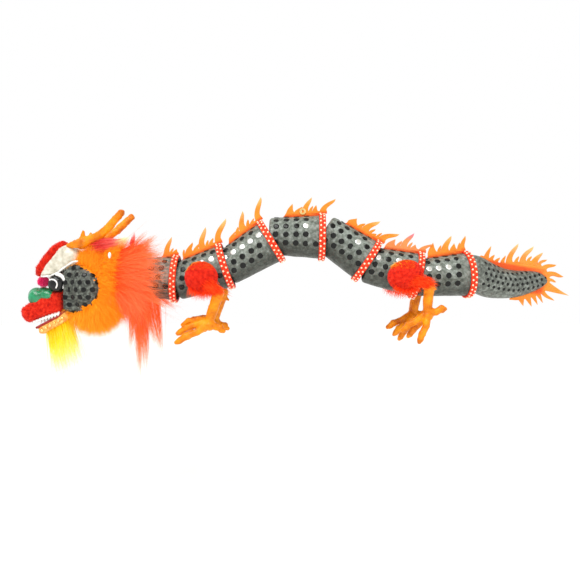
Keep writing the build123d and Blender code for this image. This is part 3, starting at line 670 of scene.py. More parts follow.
def drum_braid(k, at, rng):
    points, faces, uv = ring_surface(BRAID, 120, wobble=0.25, seed=k * 5.1)
    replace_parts(add_mesh(f"drum_{k}_braid", points, faces, *at, braid, uv=uv), f"drum_{k}_band")
    pearls = []
    for x, shift in ((42.7, 0.0), (46.3, 0.5)):
        for i in range(PEARLS_ROUND):
            angle = 2 * math.pi * (i + shift) / PEARLS_ROUND
            # The fin's foot is where the topmost pearl would be.
            if abs(math.cos(angle) + 1) < 0.012:
                continue
            centre = (x + rng.normal(0, 0.15), -PEARL_RING_R * math.sin(angle),
                      -PEARL_RING_R * math.cos(angle))
            pearls.append(ball(centre, (PEARL_R, PEARL_R, PEARL_R)))
    add_parts(f"drum_{k}_pearls", pearls, *at, pearl)


def drum_fin(k, at):
    fin = felt_piece(f"drum_{k}_flames", fin_outline(k), lambda x, z: z - fin_foot(x), *at,
                     pink_felt if k == PINK_FIN else felt, seed=k * 1.7)
    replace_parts(fin, f"drum_{k}_fin")
    fin_outline(k)


for k in range(1, 8):
    at = (FRAMES[k], BODY[k])
    rng = np.random.default_rng(40 + k)
    drum_cloth(k, at)
    drum_sequins(k, at, rng)
    drum_braid(k, at, rng)
    drum_fin(k, at)
    paint(f"drum_{k}_spine", black_plastic)
for k in range(1, 9):
    paint(f"cross_{k}", black_plastic)
paint("hang_eyelet", brass)

# ---------------- tail
# The tail's flames, as (foot's start, foot's end, tip).
TAIL_FLAMES = [
    ((7, 19.6), (13, 19), (13, 31)), ((14, 18.6), (18, 17.6), (18.5, 23)), ((20, 17), (24, 16), (25, 21)),
    ((27, 15.8), (32, 16.5), (31, 24)), ((33.5, 17), (41, 19), (44, 39)), ((43, 19.4), (47, 20.2), (47, 26)),
    ((49, 20.6), (57, 22.6), (62, 39)), ((58, 23), (61.5, 23.6), (62, 28.5)),
    ((63, 23.8), (70, 23), (75, 34.5)), ((71, 22.6), (75, 21.5), (81, 28)), ((77, 20), (82, 17), (92, 24)),
    ((83.5, 15), (87, 10), (103, 13)), ((87.4, 8.8), (88, 5.4), (96, 6)), ((88, 4), (85, -5), (112, -6)),
    ((84, -6), (80.5, -9), (96, -14)), ((79.5, -9.4), (75.5, -11.9), (84, -18)),
    ((74, -12.6), (70, -14.6), (77, -21)), ((68.5, -15.2), (63, -17.4), (70, -24)),
    ((61, -18.2), (55, -19.8), (61, -25)),
]


def tail_foot(x, z):
    return max(abs(z - 3.0) - 11.5, 0.55 * (x - 78), 0.0) if x > 40 else z - 15


def tail_fin():
    outline = [(2, 18.9), (4, 20)]
    for start, end, tip in TAIL_FLAMES:
        outline += flame(start, end, tip)
    outline += [(51, -20.5), (45, -21), (45, -17), (54, -13), (66, -7), (75, 0), (78, 5), (75, 9), (65, 11),
                (49, 8.5), (31, 8.5), (18, 11), (8, 15)]
    flames = felt_piece("tail_flames", outline, tail_foot, *AT_TAIL, felt, seed=9.1)
    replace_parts(flames, "tail_fin")


def tail_sequins():
    target = ray_target(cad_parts["tail_body"], FRAMES[TAIL])
    discs = []
    for side in SIDES:
        spots = [(3 + 6.3 * i + 3.15 * (j % 2), 12.5 - 5.6 * j - 0.06 * i * j)
                 for i in range(13) for j in range(5)]
        spots = [(x, z - 0.13 * min(x, 40) + 0.003 * x * x) for x, z in spots]
        discs += stuck_discs(target, spots, side, 1.75, 0.2, 71 + side)
    add_parts("tail_sequins", discs, *AT_TAIL, sequin_black)


tail_cloth = surface("tail_brocade", [(0.045, 0.052, 0.043), (0.13, 0.145, 0.125), (0.28, 0.31, 0.28)], 3.2,
                     (0.35, 0.55), 0.2, 0.7, metallic=0.35, specular=0.6)
paint("tail_body", tail_cloth)
tail_fin()
tail_sequins()

# ---------------- legs
LEG_SHAPES = {
    2: {
        "knee": (16.8, 0, -16.3), "knee_r": 6.0, "ankle": (7.3, 0, -45.7), "ankle_r": 4.8,
        "spur": ((17, 0, -20), (22.5, 0, -24.5)), "puff": (-1, 0, -1), "stretch": (1.02, 1.0), "tilt": 0,
        "toes": [((-4, 5, -56), (-26, 8.5, -67)), ((-6, 0, -49), (-26, 0, -58.5)),
                 ((-5, -5, -44), (-22, -8.5, -50)), ((13, 0, -51), (23, 0, -56))],
    },
    6: {
        "knee": (27, 0, -11.5), "knee_r": 5.6, "ankle": (25, 0, -38), "ankle_r": 4.6,
        "spur": ((29, 0, -13), (33.5, 0, -15)), "puff": (3, 0, -1), "stretch": (1.12, 0.94), "tilt": 20,
        "toes": [((23, 5, -52), (15, 8, -69)), ((14, 0, -47), (-1, 1, -57.5)),
                 ((18, -5, -50), (6, -8, -64)), ((34, 0, -38), (44, 0, -34.5))],
    },
}
PUFF_R, PUFF_DEPTH = 16.5, 12.0
OVER_KNEE, LOOSE_ENDS = 1500, 420
puff_fur = strand_material("puff_fur", (0.75, 0.018, 0.003), (0.98, 0.055, 0.008), (1.0, 0.14, 0.02), 0.25)
puff_rim = strand_material("puff_rim", (0.90, 0.16, 0.01), (0.98, 0.40, 0.02), (1.0, 0.62, 0.08))


def leg_skin(k, side, at):
    shape = LEG_SHAPES[k]
    plane_y = THIGH_IN[k] + 2.5

    def put(point):
        return (point[0], side * (plane_y + point[1]), point[2])

    knee, ankle = shape["knee"], shape["ankle"]
    parts = limb(put((0, 0, 0)), put(knee), 3.2, shape["knee_r"])
    parts += limb(put(knee), put(ankle), shape["knee_r"], shape["ankle_r"])
    parts += limb(put(shape["spur"][0]), put(shape["spur"][1]), 3.6, 1.2)
    # A ridge down the shin, the wrist, and toes with knuckles and blunt hooked claws.
    middle = tuple((a + b) / 2 for a, b in zip(knee, ankle))
    parts += limb(put((middle[0] - 2.5, 1.2, middle[2])), put((ankle[0] - 1, 1.5, ankle[2])), 3.4, 3.8)
    parts.append(ball(put((ankle[0], 0, ankle[2] - 4)), (6.2, 6.6, 5.6)))
    for knuckle, tip in shape["toes"]:
        run = Vector(tip) - Vector(knuckle)
        bend = Vector(knuckle) + run * 0.55 + Vector((0, 0, 1.4))
        claw = Vector(tip) - run.normalized() * 4.0
        parts += limb(put(ankle), put(knuckle), shape["ankle_r"], 3.7)
        parts += limb(put(knuckle), put(bend), 3.7, 3.5)
        parts += limb(put(bend), put(claw), 3.6, 3.3)
        parts += limb(put(claw), put(Vector(tip) - run.normalized() * 1.2), 3.4, 2.3)
        parts.append(ball(put(bend), (4.1, 3.8, 4.0)))
    body = at[1]
    melted(body + "_skin", body, parts, at, orange_plastic, 0.75, 3, rough_mm=0.25, seed=k)


def thigh_puff(k, side, tag, at):
    """Half an egg of plush against the thigh's inner plane."""
    shape = LEG_SHAPES[k]
    tilt = Matrix.Rotation(math.radians(-shape["tilt"]), 3, "Y")
    radii = (PUFF_R * shape["stretch"][0], PUFF_DEPTH, PUFF_R * shape["stretch"][1])
    points, faces = ball((0, 0, 0), radii, 28, 20)
    shaped = []
    for p in points:
        p = tilt @ Vector(p)
        depth = max(p.y, 0.0) if p.y > 0 else p.y * 0.10
        lump = 1 + 0.025 * noise.noise(Vector((p.x * 0.12, depth * 0.12, p.z * 0.12 + k)))
        shaped.append((p.x * lump + shape["puff"][0], side * (THIGH_IN[k] + 0.8 + depth * lump),
                       p.z * lump + shape["puff"][2]))
    if side > 0:
        faces = [tuple(reversed(f)) for f in faces]
    return take_over(add_mesh(f"puff_{tag}", shaped, faces, *at, plush_red), f"thigh_puff_{tag}")


def puff_piles(k, side, tag, at, puff):
    """Red fur over the puff, and a paler rim along its top."""
    shape = LEG_SHAPES[k]
    rim_z = shape["puff"][2] + PUFF_R * shape["stretch"][1] - 9.0

    def outside(p):
        return side * p[1] > THIGH_IN[k] + 0.9

    def on_rim(p):
        return outside(p) and p[2] > rim_z and p[0] < 12

    pile(f"puff_{tag}_fur", puff, *at, puff_fur, 8200, 5.2, FUR_WIDTH, 11 * k + side, keep=outside,
         lean=(0.35, 0, -0.9), wild=0.22)
    pile(f"puff_{tag}_rim", puff, *at, puff_rim, 9000, 5.0, FUR_WIDTH, 13 * k + side, keep=on_rim,
         lean=(-0.5, 0, 0.5), wild=0.22)


def puff_ends(k, side, tag, at):
    """Longer fur runs over the knee, and loose ends hang below the puff."""
    shape = LEG_SHAPES[k]
    puff_x, puff_z = shape["puff"][0], shape["puff"][2]
    rng = np.random.default_rng(17 * k + side)
    over = rng.uniform(0, 1, (OVER_KNEE, 1))
    start, end = np.array((puff_x + 3, 0, puff_z - 5)), np.array(shape["knee"]) + (-2.5, 0, 3.0)
    roots = start + (end - start) * over + rng.normal(0, 2.6, (OVER_KNEE, 3))
    roots[:, 1] = side * (THIGH_IN[k] + 10.5 - 3.0 * over[:, 0] + rng.normal(0, 0.8, OVER_KNEE))
    directions = np.tile(end - start, (OVER_KNEE, 1)) / 12 + rng.normal(0, 0.18, (OVER_KNEE, 3))
    strands(f"puff_{tag}_knee", roots, directions, rng.uniform(4, 9, OVER_KNEE), FUR_WIDTH, *at, puff_fur,
            droop=0.1, curl=0.1, seed=23 * k + side)
    a = rng.uniform(-0.9, 1.0, LOOSE_ENDS)
    roots = np.stack([puff_x + 15 * np.sin(a), side * (THIGH_IN[k] + rng.uniform(2, 9, LOOSE_ENDS)),
                      puff_z - 13.5 * np.cos(a)], axis=1)
    directions = np.stack([0.25 * np.sin(a) + rng.normal(0, 0.18, LOOSE_ENDS),
                           rng.normal(0, 0.15, LOOSE_ENDS), np.full(LOOSE_ENDS, -1.0)], axis=1)
    strands(f"puff_{tag}_wisps", roots, directions, rng.uniform(3, 11, LOOSE_ENDS), 0.36, *at, puff_fur,
            droop=0.1, curl=0.12, seed=19 * k + side)


for k, pair in ((2, "front"), (6, "hind")):
    for side, hand in zip(SIDES, ("left", "right")):
        tag = f"{pair}_{hand}"
        at = (hip_frame(k, side), f"leg_{tag}")
        leg_skin(k, side, at)
        puff = thigh_puff(k, side, tag, at)
        puff_piles(k, side, tag, at, puff)
        puff_ends(k, side, tag, at)

# ---------------- head
cream = surface("cream_satin", [(0.40, 0.37, 0.28), (0.62, 0.58, 0.47), (0.80, 0.77, 0.68)], 7, (0.25, 0.45),
                0.35, 2.5, sheen=0.4)
white_trim = surface("white_trim", [(0.80, 0.78, 0.74), (0.95, 0.94, 0.92)], 3, (0.2, 0.4), 0.05, coat=0.3)
green = surface("green_lacquer", [(0.0, 0.11, 0.035), (0.0, 0.22, 0.08), (0.0, 0.34, 0.14)], 7, (0.12, 0.28),
                0.2, 3.0, coat=0.5)
eye_black = surface("eye_black", [(0.003, 0.003, 0.003), (0.008, 0.008, 0.008)], 12, (0.10, 0.2), 0.01,
                    specular=0.35)
jaw_gold = surface("jaw_gold", [(0.72, 0.16, 0.01), (0.90, 0.40, 0.06), (0.98, 0.66, 0.24)], 2.6,
                   (0.25, 0.5), 0.3, 1.2, coat=0.3)
lip_red = surface("lip_red", [(0.25, 0.006, 0.004), (0.45, 0.015, 0.01)], 4, (0.4, 0.6), 0.2, 0.8)
gold_bead = surface("gold_bead", [(0.80, 0.45, 0.08), (1.0, 0.75, 0.35)], 3, (0.15, 0.3), 0.03, metallic=0.7)
cheek_cloth = surface("cheek_brocade", [(0.02, 0.022, 0.018), (0.06, 0.066, 0.055), (0.20, 0.22, 0.19)], 2.4,
                      (0.35, 0.55), 0.25, 0.8, metallic=0.2, specular=0.4)
magenta = strand_material("pompom_fur", (0.55, 0.006, 0.08), (0.88, 0.03, 0.18), (0.95, 0.12, 0.30))

# Side outlines and the lip's line, as (x, z).
MUZZLE = [(-113.6, -34), (-107.3, -29), (-97.9, -25), (-87.4, -18.8), (-79, -15.4), (-72, -15.4), (-72, -36),
          (-87.4, -39.8), (-95.8, -42.4), (-103, -46.6), (-108.4, -46.4), (-112.6, -41.4)]
CREST = [(-100.5, 1.7), (-100.5, 9), (-92.5, 20.6), (-83, 32), (-73.5, 37), (-69, 34.6), (-72, 27.5),
         (-79.5, 19.8), (-87, 11), (-92, 4), (-96, 0.5)]
FOREHEAD = [(-94.0, 0.6), (-89.5, 10), (-82.0, 19.0), (-74.0, 29.5), (-67.5, 32.5), (-56, 27), (-52, 14),
            (-62, 9), (-74.8, 3.4), (-83.2, -0.6)]
CHEEK_FRONT = [(-69, 5), (-62, 10.5), (-47, 14), (-47, -38), (-62, -37), (-69, -34)]
JAW = [(-97, -53.5), (-91, -50), (-84, -46.6), (-75, -41.5), (-69, -35.5), (-63.5, -34.5), (-62.5, -40),
       (-66, -45.5), (-74, -50.5), (-84, -55.8), (-91, -59.8), (-95.5, -59.0)]
LIP = [(-97.5, -53), (-91, -49.6), (-84, -46), (-75, -41), (-69, -35.8)]
# One side's brow and horn lines, as (x, y, z) and (x, y, z, radius), with y outward.
BROW = [(-92, 13.0, 0.0), (-83, 14.6, 0.2), (-74.8, 15.6, 3.8), (-66.4, 16.4, 10), (-58, 18, 15),
        (-53, 19, 15.5)]
HORN = [(-63, 10, 32.5, 3.2), (-54, 12, 34.5, 4.5), (-42.5, 14, 37.5, 4.8), (-30.5, 17, 42.5, 4.5),
        (-20.8, 20, 50.4, 4.2), (-12.5, 23, 59.0, 4.0), (-7.0, 25, 64.5, 3.7)]


def muzzle():
    corners = [ball((-106, side * 6, -38), (7, 8, 8.5)) for side in (1, -1)]
    plush = melted("muzzle_plush", "muzzle", [side_slab(MUZZLE, 14.5, 3.0)] + corners, AT_HEAD, plush_red,
                   0.9, 5, 0.5, 1.0)
    pile("muzzle_pile", plush, *AT_HEAD, pile_red, 9000, 1.7, PILE_WIDTH, 201, lean=(0.3, 0, -0.1),
         wild=0.45)


def crest():
    plush = melted("crest_plush", "crest", [side_slab(CREST, 8.0, 2.5)], AT_HEAD, plush_red, 0.8, 5, 0.5,
                   2.0)
    pile("crest_pile", plush, *AT_HEAD, pile_red, 5200, 1.8, PILE_WIDTH, 211, lean=(0.1, 0, 0.2), wild=0.45)


def forehead():
    parts = [side_slab(FOREHEAD, 15.0, 3.5), ball((-66, 0, 20), (13, 13, 13))]
    melted("forehead_satin", "forehead", parts, AT_HEAD, cream, 0.9, 6, 0.8, 3.0)


def brow_piping():
    piping = []
    for side in SIDES:
        piping += tube([(x, side * y, z) for x, y, z in BROW], 0.95)
    add_parts("brow_piping", piping, *AT_HEAD, white_trim)


def cheeks():
    egg = ball((-43, 0, -12), (25, 28.4, 29), 32, 24)
    cover = organic("cheek_cloth", [egg, side_slab(CHEEK_FRONT, 18.5, 3.0)], *AT_HEAD, cheek_cloth, 1.1,
                    6, 0.4, 4.0)
    target = ray_target(cover, FRAMES[HEAD])
    discs = []
    for side in SIDES:
        spots = [(-66 + 8.6 * i + 4.3 * (j % 2), 9 - 7.6 * j) for i in range(6) for j in range(7)]
        discs += stuck_discs(target, spots, side, 2.75, 0.22, 81 + side)
    add_parts("cheek_sequins", discs, *AT_HEAD, sequin_black)


def nose():
    """A ball-shaped tip on a bridge that narrows upward, with a wing on each side."""
    parts = [ball((-101.0, 0, -20.0), (8.8, 10.5, 8.8), 22, 16),
             ball((-94, 0, -18), (8.5, 9.0, 7.2), 18, 12),
             ball((-87, 0, -16.8), (8.0, 7.5, 5.2), 18, 12), ball((-80, 0, -14.5), (5, 6, 3.0), 14, 10)]
    for side in SIDES:
        parts.append(ball((-99, side * 9.0, -22.0), (8.2, 6.6, 8.2), 20, 14))
        parts.append(ball((-87, side * 11.0, -19.5), (8.0, 5.0, 5.2), 16, 12))
    melted("nose_lacquer", "nose", parts, AT_HEAD, green, 0.6, 3)


def eyes():
    balls, rims, rings = [], [], []
    for side in SIDES:
        balls.append(ball((-76.0, side * 12.2, -7.6), (9.4, 8.6, 9.2), 28, 20))
        arc = [math.radians(a) for a in range(80, -40, -12)]
        rims += tube([(-76.4 + 10.0 * math.cos(a), side * (15.8 + 1.3 * math.sin(a + 0.4)),
                       -7.2 + 9.6 * math.sin(a)) for a in arc], 2.1)
        arc = [math.radians(a) for a in range(115, -40, -14)]
        rings += tube([(-79.0 + 5.4 * math.cos(a), side * 20.3, -8.4 + 5.2 * math.sin(a)) for a in arc], 0.8)
    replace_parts(add_parts("eye_balls", balls, *AT_HEAD, eye_black), "eyes")
    add_parts("eye_rims", rims, *AT_HEAD, white_trim)
    add_parts("eye_rings", rings, *AT_HEAD, white_trim)


def pompom():
    core = surface("pompom_core", [(0.45, 0.005, 0.05), (0.7, 0.02, 0.12)], 2)
    points, faces = ball((-94.0, 0, -5.2), (3.8, 9.5, 3.8), 18, 12)
    piece = add_mesh("pompom", points, faces, *AT_HEAD, core)
    pile("pompom_pile", piece, *AT_HEAD, magenta, 5200, 2.6, PILE_WIDTH, 221)


def upper_teeth():
    parts = []
    for side in SIDES:
        for i in range(9):
            t = i / 8
            x, z = -100 + 25 * t, -46.6 + 9.0 * t
            size = 1.3 + 0.9 * t
            parts.append(cone_run((x, side * 11.4, z), (x - 0.3, side * 11.8, z - 2.0 * size), size * 0.95,
                                  0.35, 10))
            parts.append(ball((x, side * 11.2, z), (1.9, 1.6, size), 10, 8))
    melted("upper_fangs", "upper_teeth", parts, AT_HEAD, white_trim, 0.45, 2)


def lower_jaw():
    melted("jaw_body", "lower_jaw", [side_slab(JAW, 11.6, 2.0)], AT_JAW, jaw_gold, 0.8, 4, 0.3, 5.0)
    lip, beads = [], []
    for side in SIDES:
        lip += tube([(x, side * 11.2, z) for x, z in LIP], 1.25)
        beads += [ball((-92 + 4.2 * i, side * 12.1, -56 + 2.6 * i), (1.9, 1.2, 1.6)) for i in range(6)]
    lip += tube([(-97.5, 11.2, -53), (-98.6, 5, -53), (-98.6, -5, -53), (-97.5, -11.2, -53)], 1.25)
    add_parts("jaw_lip", lip, *AT_JAW, lip_red)
    add_parts("jaw_beads", beads, *AT_JAW, gold_bead)


def lower_teeth():
    parts = []
    for side in SIDES:
        for i in range(6):
            x, z = -94 + 4.4 * i, -50.6 + 2.7 * i
            parts.append(cone_run((x, side * 8.4, z - 1.5), (x, side * 8.2, z + 1.9), 1.6, 0.4, 10))
    melted("lower_fangs", "lower_teeth", parts, AT_JAW, white_trim, 0.45, 1)


def horns():
    """Two curved horns, each with a short prong and a thick root."""
    parts = []
    for side in SIDES:
        for (x1, y1, z1, r1), (x2, y2, z2, r2) in zip(HORN, HORN[1:]):
            parts += limb((x1, side * y1, z1), (x2, side * y2, z2), r1, r2)
        parts += limb((-50, side * 13, 36.5), (-48.5, side * 15, 46), 4.2, 1.5)
        parts += limb((-64, side * 11, 32), (-47, side * 16, 34), 3.0, 4.4)
    melted("horn_pair", "horns", parts, AT_HEAD, orange_plastic, 0.8, 4, 0.6, 6.0)


paint("head_shell", surface("skull_red", [(0.30, 0.02, 0.01), (0.45, 0.05, 0.02)], 8, (0.5, 0.7), 0.1))
muzzle()
crest()
forehead()
brow_piping()
cheeks()
nose()
eyes()
pompom()
upper_teeth()
lower_jaw()
lower_teeth()
horns()

# ---------------- ruff
ruff_core = surface("ruff_core", [(0.95, 0.24, 0.004), (1.0, 0.32, 0.006)], 4, (0.7, 0.9), 0.6, 0.6,
                    specular=0.1)
ruff_fur = strand_material("ruff_fur", (1.0, 0.30, 0.008), (1.0, 0.37, 0.012), (1.0, 0.46, 0.035), 0.10)
CHEEK, CHEEK_R = np.array((-49.5, -12.0)), np.array((20.5, 24.5))
EGG, EGG_R = np.array((-40.0, 0.0, -12.0)), np.array((26.0, 26.0, 36.0))
FRINGE_STRANDS = 6500


def cheek_reach(p):
    return np.hypot(*((p[[0, 2]] - CHEEK) / CHEEK_R))


def on_ruff(p):
    return p[0] > -70 and (cheek_reach(p) > 1.0 or abs(p[1]) < 14) and not (p[0] < -60 and -34 < p[2] < 26)


def ruff():
    body = melted("ruff_body", "ruff", [ball(EGG, EGG_R, 36, 26)], AT_HEAD, ruff_core, 1.3, 3, 1.2, 7.0)
    roots, normals = scatter(skin_of(body, FRAMES[HEAD]), 26000, 301, on_ruff)
    rng = np.random.default_rng(302)
    outward = roots[:, [0, 2]] - CHEEK
    outward /= np.linalg.norm(outward, axis=1, keepdims=True)
    directions = normals * 0.75 + rng.normal(0, 0.16, roots.shape)
    directions[:, 0] += outward[:, 0]
    directions[:, 2] += outward[:, 1]
    lengths = rng.uniform(7.0, 13.0, len(roots)) + 4.0 * (roots[:, 2] < -25)
    strands("ruff_fur", roots, directions, lengths, DOWN_WIDTH, *AT_HEAD, ruff_fur, droop=0.10, curl=0.10,
            segments=4, seed=303)


def ruff_fringe(side):
    """A fringe laid over the cheek's edge hides where the fur is sewn on."""
    rng = np.random.default_rng(305 + side)
    count = FRINGE_STRANDS
    a = rng.uniform(-2.45, 1.75, count)
    reach = rng.uniform(0.93, 1.40, count)
    roots = np.stack([CHEEK[0] + CHEEK_R[0] * reach * np.cos(a), np.zeros(count),
                      CHEEK[1] + CHEEK_R[1] * reach * np.sin(a)], axis=1)
    # The strands start on the ruff's egg or on the cheek's, whichever is farther out.
    egg = 1 - ((roots[:, 0] - EGG[0]) / EGG_R[0]) ** 2 - ((roots[:, 2] - EGG[2]) / EGG_R[2]) ** 2
    cheek = 1 - ((roots[:, 0] + 43) / 25) ** 2 - ((roots[:, 2] + 12) / 29) ** 2
    half_width = np.maximum(EGG_R[1] * np.sqrt(np.clip(egg, 0, 1)), 28.4 * np.sqrt(np.clip(cheek, 0, 1)))
    roots[:, 1] = side * (half_width + 1.0)
    directions = np.stack([np.cos(a), side * rng.uniform(0.35, 0.85, count), np.sin(a)], axis=1)
    directions += rng.normal(0, 0.16, directions.shape)
    keep = (roots[:, 0] > -69) & (egg > 0.02)
    strands(f"ruff_fringe_{side + 2}", roots[keep], directions[keep], rng.uniform(5, 11, count)[keep],
            DOWN_WIDTH, *AT_HEAD, ruff_fur, droop=0.06, curl=0.10, segments=4, seed=307 + side)


ruff()
for side in SIDES:
    ruff_fringe(side)

# ---------------- mane and feathers
mane_core = surface("mane_core", [(0.55, 0.02, 0.006), (0.85, 0.07, 0.015)], 4, (0.7, 0.9), 0.6, 0.6,
                    specular=0.1)
mane_fur = strand_material("mane_fur", (0.98, 0.10, 0.012), (1.0, 0.165, 0.035), (1.0, 0.31, 0.13), 0.16)
pink_fur = strand_material("feather_pink", (0.70, 0.03, 0.03), (0.90, 0.10, 0.08), (0.98, 0.35, 0.30), 0.3)
pale_fur = strand_material("feather_pale", (0.80, 0.60, 0.15), (0.90, 0.85, 0.45), (0.97, 0.95, 0.70), 0.2)
NECK_RING = [(-19, 23.6), (-18, 24.6), (-10, 26.8), (-2, 26.4), (2, 25.0), (-2, 23.6)]
MANE_REACH = 43.0
# Tufts that stand out of the mane, as (root, tip, strands).
WISPS = [((4, -16, -30), (1, -18, -78), 90), ((8, -12, -30), (10, -14, -106), 120),
         ((11, -10, -30), (14, -8, -102), 80), ((16, -16, -28), (27, -20, -72), 90),
         ((20, -14, -26), (33, -18, -80), 90), ((10, 12, -30), (12, 14, -98), 110),
         ((2, 14, -30), (0, 18, -84), 90), ((22, 14, -26), (28, 16, -80), 90),
         ((6, -20, 24), (30, -22, 42), 60), ((-2, -14, 27), (20, -18, 47), 60),
         ((-2, 14, 27), (22, 18, 46), 60), ((14, -22, -14), (40, -26, -34), 80),
         ((16, 22, -14), (42, 26, -36), 80)]
FEATHERS = [
    ("feather_red", (-34, -14, 33), (-4, -17, 36), (3.5, 3, 3.5), 420, pink_fur, 411, 0.10),
    ("feather_red_far", (-34, 14, 33), (-4, 17, 36), (3.5, 3, 3.5), 320, pink_fur, 416, 0.10),
    ("feather_pale", (-14, -12, 34), (0, -15, 41), (3.0, 3, 2.0), 200, pale_fur, 421, 0.10),
    ("feather_wisp", (0, -8, 34), (4, -10, 47), (1.5, 2, 1.5), 90, pink_fur, 426, 0.15),
]


def mane_body():
    points, faces, _ = ring_surface(NECK_RING, 40, 1.0, 3.0)
    take_over(add_mesh("mane_body", points, faces, *AT_HEAD, mane_core), "mane")


def mane_strands(name, count, seed, mat, angles, length, forward, radial, droop, x_range=(-19, 1), r=26.0,
                 width=PILE_WIDTH):
    """Down rooted round the neck: angles are from straight up, in degrees, on either side."""
    rng = np.random.default_rng(seed)
    a = np.radians(rng.uniform(*angles, count)) * rng.choice((-1, 1), count)
    x = rng.uniform(*x_range, count)
    radius = r + rng.normal(0, 1.2, count)
    roots = np.stack([x, -radius * np.sin(a), radius * np.cos(a)], axis=1)
    directions = np.stack([np.full(count, forward), -radial * np.sin(a), radial * np.cos(a)], axis=1)
    directions += rng.normal(0, 0.20, directions.shape)
    directions /= np.linalg.norm(directions, axis=1, keepdims=True)
    # A strand that points sideways is shorter, so that its straight run stays within MANE_REACH.
    room = (MANE_REACH - np.abs(roots[:, 1])) / np.maximum(np.abs(directions[:, 1]), 0.01)
    strands(name, roots, directions, np.minimum(rng.uniform(*length, count), room), width, *AT_HEAD, mat,
            droop=droop, curl=0.13, segments=6, seed=seed + 1)


def tuft(name, root, tip, spread, count, mat, seed, ragged=0.35, curl=0.05):
    """Strands that start spread round root and draw together at tip."""
    rng = np.random.default_rng(seed)
    root, tip = np.array(root, float), np.array(tip, float)
    roots = root + rng.normal(0, 1, (count, 3)) * np.array(spread)
    ends = tip + (roots - root) * 0.22
    directions = ends - roots
    lengths = np.linalg.norm(directions, axis=1) * rng.uniform(1 - ragged, 1.0, count)
    strands(name, roots, directions, lengths, TUFT_WIDTH, *AT_HEAD, mat, curl=curl, segments=7,
            seed=seed + 1)


mane_body()
# The ruff's last rows lie back over the mane's roots.
mane_strands("ruff_back", 6000, 308, ruff_fur, (0, 180), (6, 13), 0.75, 0.62, 0.05, (-27, -15), r=28.5)
mane_strands("mane_top", 2200, 311, mane_fur, (0, 70), (12, 32), 1.0, 0.16, 0.02)
mane_strands("mane_side", 5200, 321, mane_fur, (50, 130), (14, 44), 1.0, 0.24, 0.14)
mane_strands("mane_long", 900, 326, mane_fur, (35, 150), (38, 60), 1.0, 0.16, 0.10, width=0.26)
mane_strands("mane_under", 3400, 331, mane_fur, (115, 180), (12, 36), 0.70, 0.55, 0.30)
for i, (root, tip, count) in enumerate(WISPS):
    tuft(f"mane_wisp_{i + 1}", root, tip, (2.6, 3.0, 3.0), count, mane_fur, 341 + 5 * i)
for name, root, tip, spread, count, mat, seed, curl in FEATHERS:
    tuft(name, root, tip, spread, count, mat, seed, ragged=0.6, curl=curl)
for side, name in zip(SIDES, ("ruff_bead", "ruff_bead_far")):
    points, faces = ball((-17.5, side * 30.5, 21), (1.6, 1.6, 3.2), 14, 10)
    add_mesh(name, points, faces, *AT_HEAD, white_trim)

# ---------------- beard
beard_fur = strand_material("beard_fur", (0.92, 0.55, 0.01), (0.98, 0.78, 0.02), (1.0, 0.93, 0.38), 0.15)
BEARD_STRANDS = 1900


def beard():
    rng = np.random.default_rng(401)
    count = BEARD_STRANDS
    roots = np.stack([rng.uniform(-89, -66, count), rng.uniform(-10, 10, count), np.zeros(count)], axis=1)
    roots[:, 2] = -57.5 + (roots[:, 0] + 92) * 0.55
    back = 0.20 + 0.004 * (roots[:, 0] + 78) + rng.normal(0, 0.07, count)
    sideways = roots[:, 1] * 0.004 + rng.normal(0, 0.07, count)
    directions = np.stack([back, sideways, np.full(count, -1.0)], axis=1)
    lengths = 12 + 42 * rng.uniform(0, 1, count) ** 1.25
    down = strands("beard_down", roots, directions, lengths, DOWN_WIDTH, *AT_JAW, beard_fur, curl=0.05,
                   segments=6, seed=402)
    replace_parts(down, "beard")


beard()

# ---------------- camera, light, floor
CAMERA_X, CAMERA_Y, CAMERA_Z = -0.0133, -0.800, -0.0824
# The width that the photo spans at the object's middle plane, in metres.
PHOTO_WIDTH = 0.609
SENSOR = 36.0


def add_camera():
    camera = linked("camera", bpy.data.cameras.new("camera"))
    camera.data.sensor_width = SENSOR
    camera.data.lens = SENSOR * -CAMERA_Y / PHOTO_WIDTH
    camera.location = (CAMERA_X, CAMERA_Y, CAMERA_Z)
    camera.rotation_euler = (math.pi / 2, 0, 0)
    bpy.context.scene.camera = camera


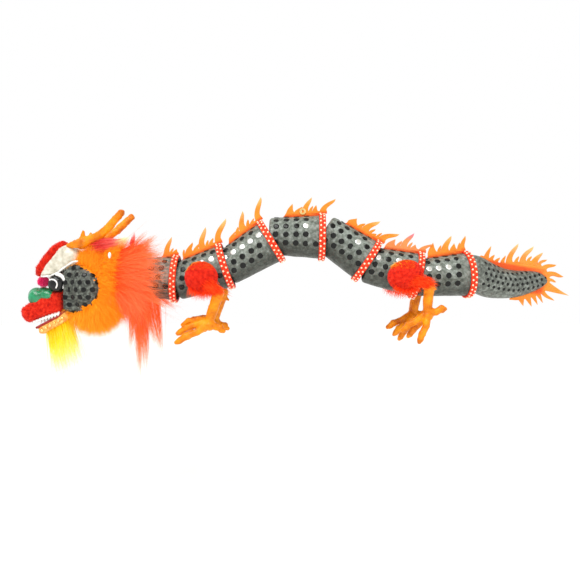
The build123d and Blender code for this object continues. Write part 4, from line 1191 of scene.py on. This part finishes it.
def softbox(name, location, target, size, power, color=(1, 1, 1)):
    light = bpy.data.lights.new(name, "AREA")
    light.shape = "RECTANGLE"
    light.size, light.size_y = size
    light.energy = power
    light.color = color
    obj = linked(name, light)
    obj.location = location
    obj.rotation_euler = (Vector(target) - Vector(location)).to_track_quat("-Z", "Y").to_euler()


def overhead_light():
    """A large lamp overhead, so the floor is evenly white out to the horizon and the shadow is soft."""
    overhead = linked("overhead", bpy.data.lights.new("overhead", "SUN"))
    overhead.data.energy = 1.15
    overhead.data.angle = math.radians(35)
    overhead.data.color = (0.94, 0.98, 1.0)
    overhead.rotation_euler = (math.radians(14), math.radians(-16), 0)


def studio_world():
    """White studio walls, and a slightly warmer and darker ceiling that tints the shadow."""
    world = bpy.data.worlds.new("studio")
    world.use_nodes = True
    coords = add_node(world, "TexCoord").outputs["Generated"]
    height = add_node(world, "SeparateXYZ", {"Vector": coords}).outputs["Z"]
    colors = ramp(world, height, [(0.40, (1.0, 1.0, 1.0)), (0.75, (0.74, 0.70, 0.62))])
    feed(world, world.node_tree.nodes["Background"], {"Color": colors, "Strength": 1.0})
    bpy.context.scene.world = world


def white_floor(z, reach):
    mesh = bpy.data.meshes.new("floor")
    corners = [(-reach, -reach, z), (reach, -reach, z), (reach, reach, z), (-reach, reach, z)]
    mesh.from_pydata(corners, [], [(0, 1, 2, 3)])
    mesh.materials.append(surface("floor_white", [(0.93, 0.93, 0.93), (0.96, 0.96, 0.96)], 60, (0.8, 0.9),
                                  0.01, specular=0.0))
    linked("floor", mesh)


add_camera()
softbox("key", (-0.25, -0.9, 1.0), (0, 0, -0.08), (0.9, 0.6), 7)
softbox("glint", (-0.1, -0.62, 0.95), (0, 0, -0.05), (0.7, 0.03), 1.2)
softbox("fill", (0.5, -1.2, 0.1), (0, 0, -0.08), (1.2, 0.9), 2, (1.0, 0.98, 0.95))
overhead_light()
studio_world()
bpy.context.scene.view_settings.view_transform = "Standard"
# The floor lies well below the object, so that poses have room.
white_floor(-0.300, 4)
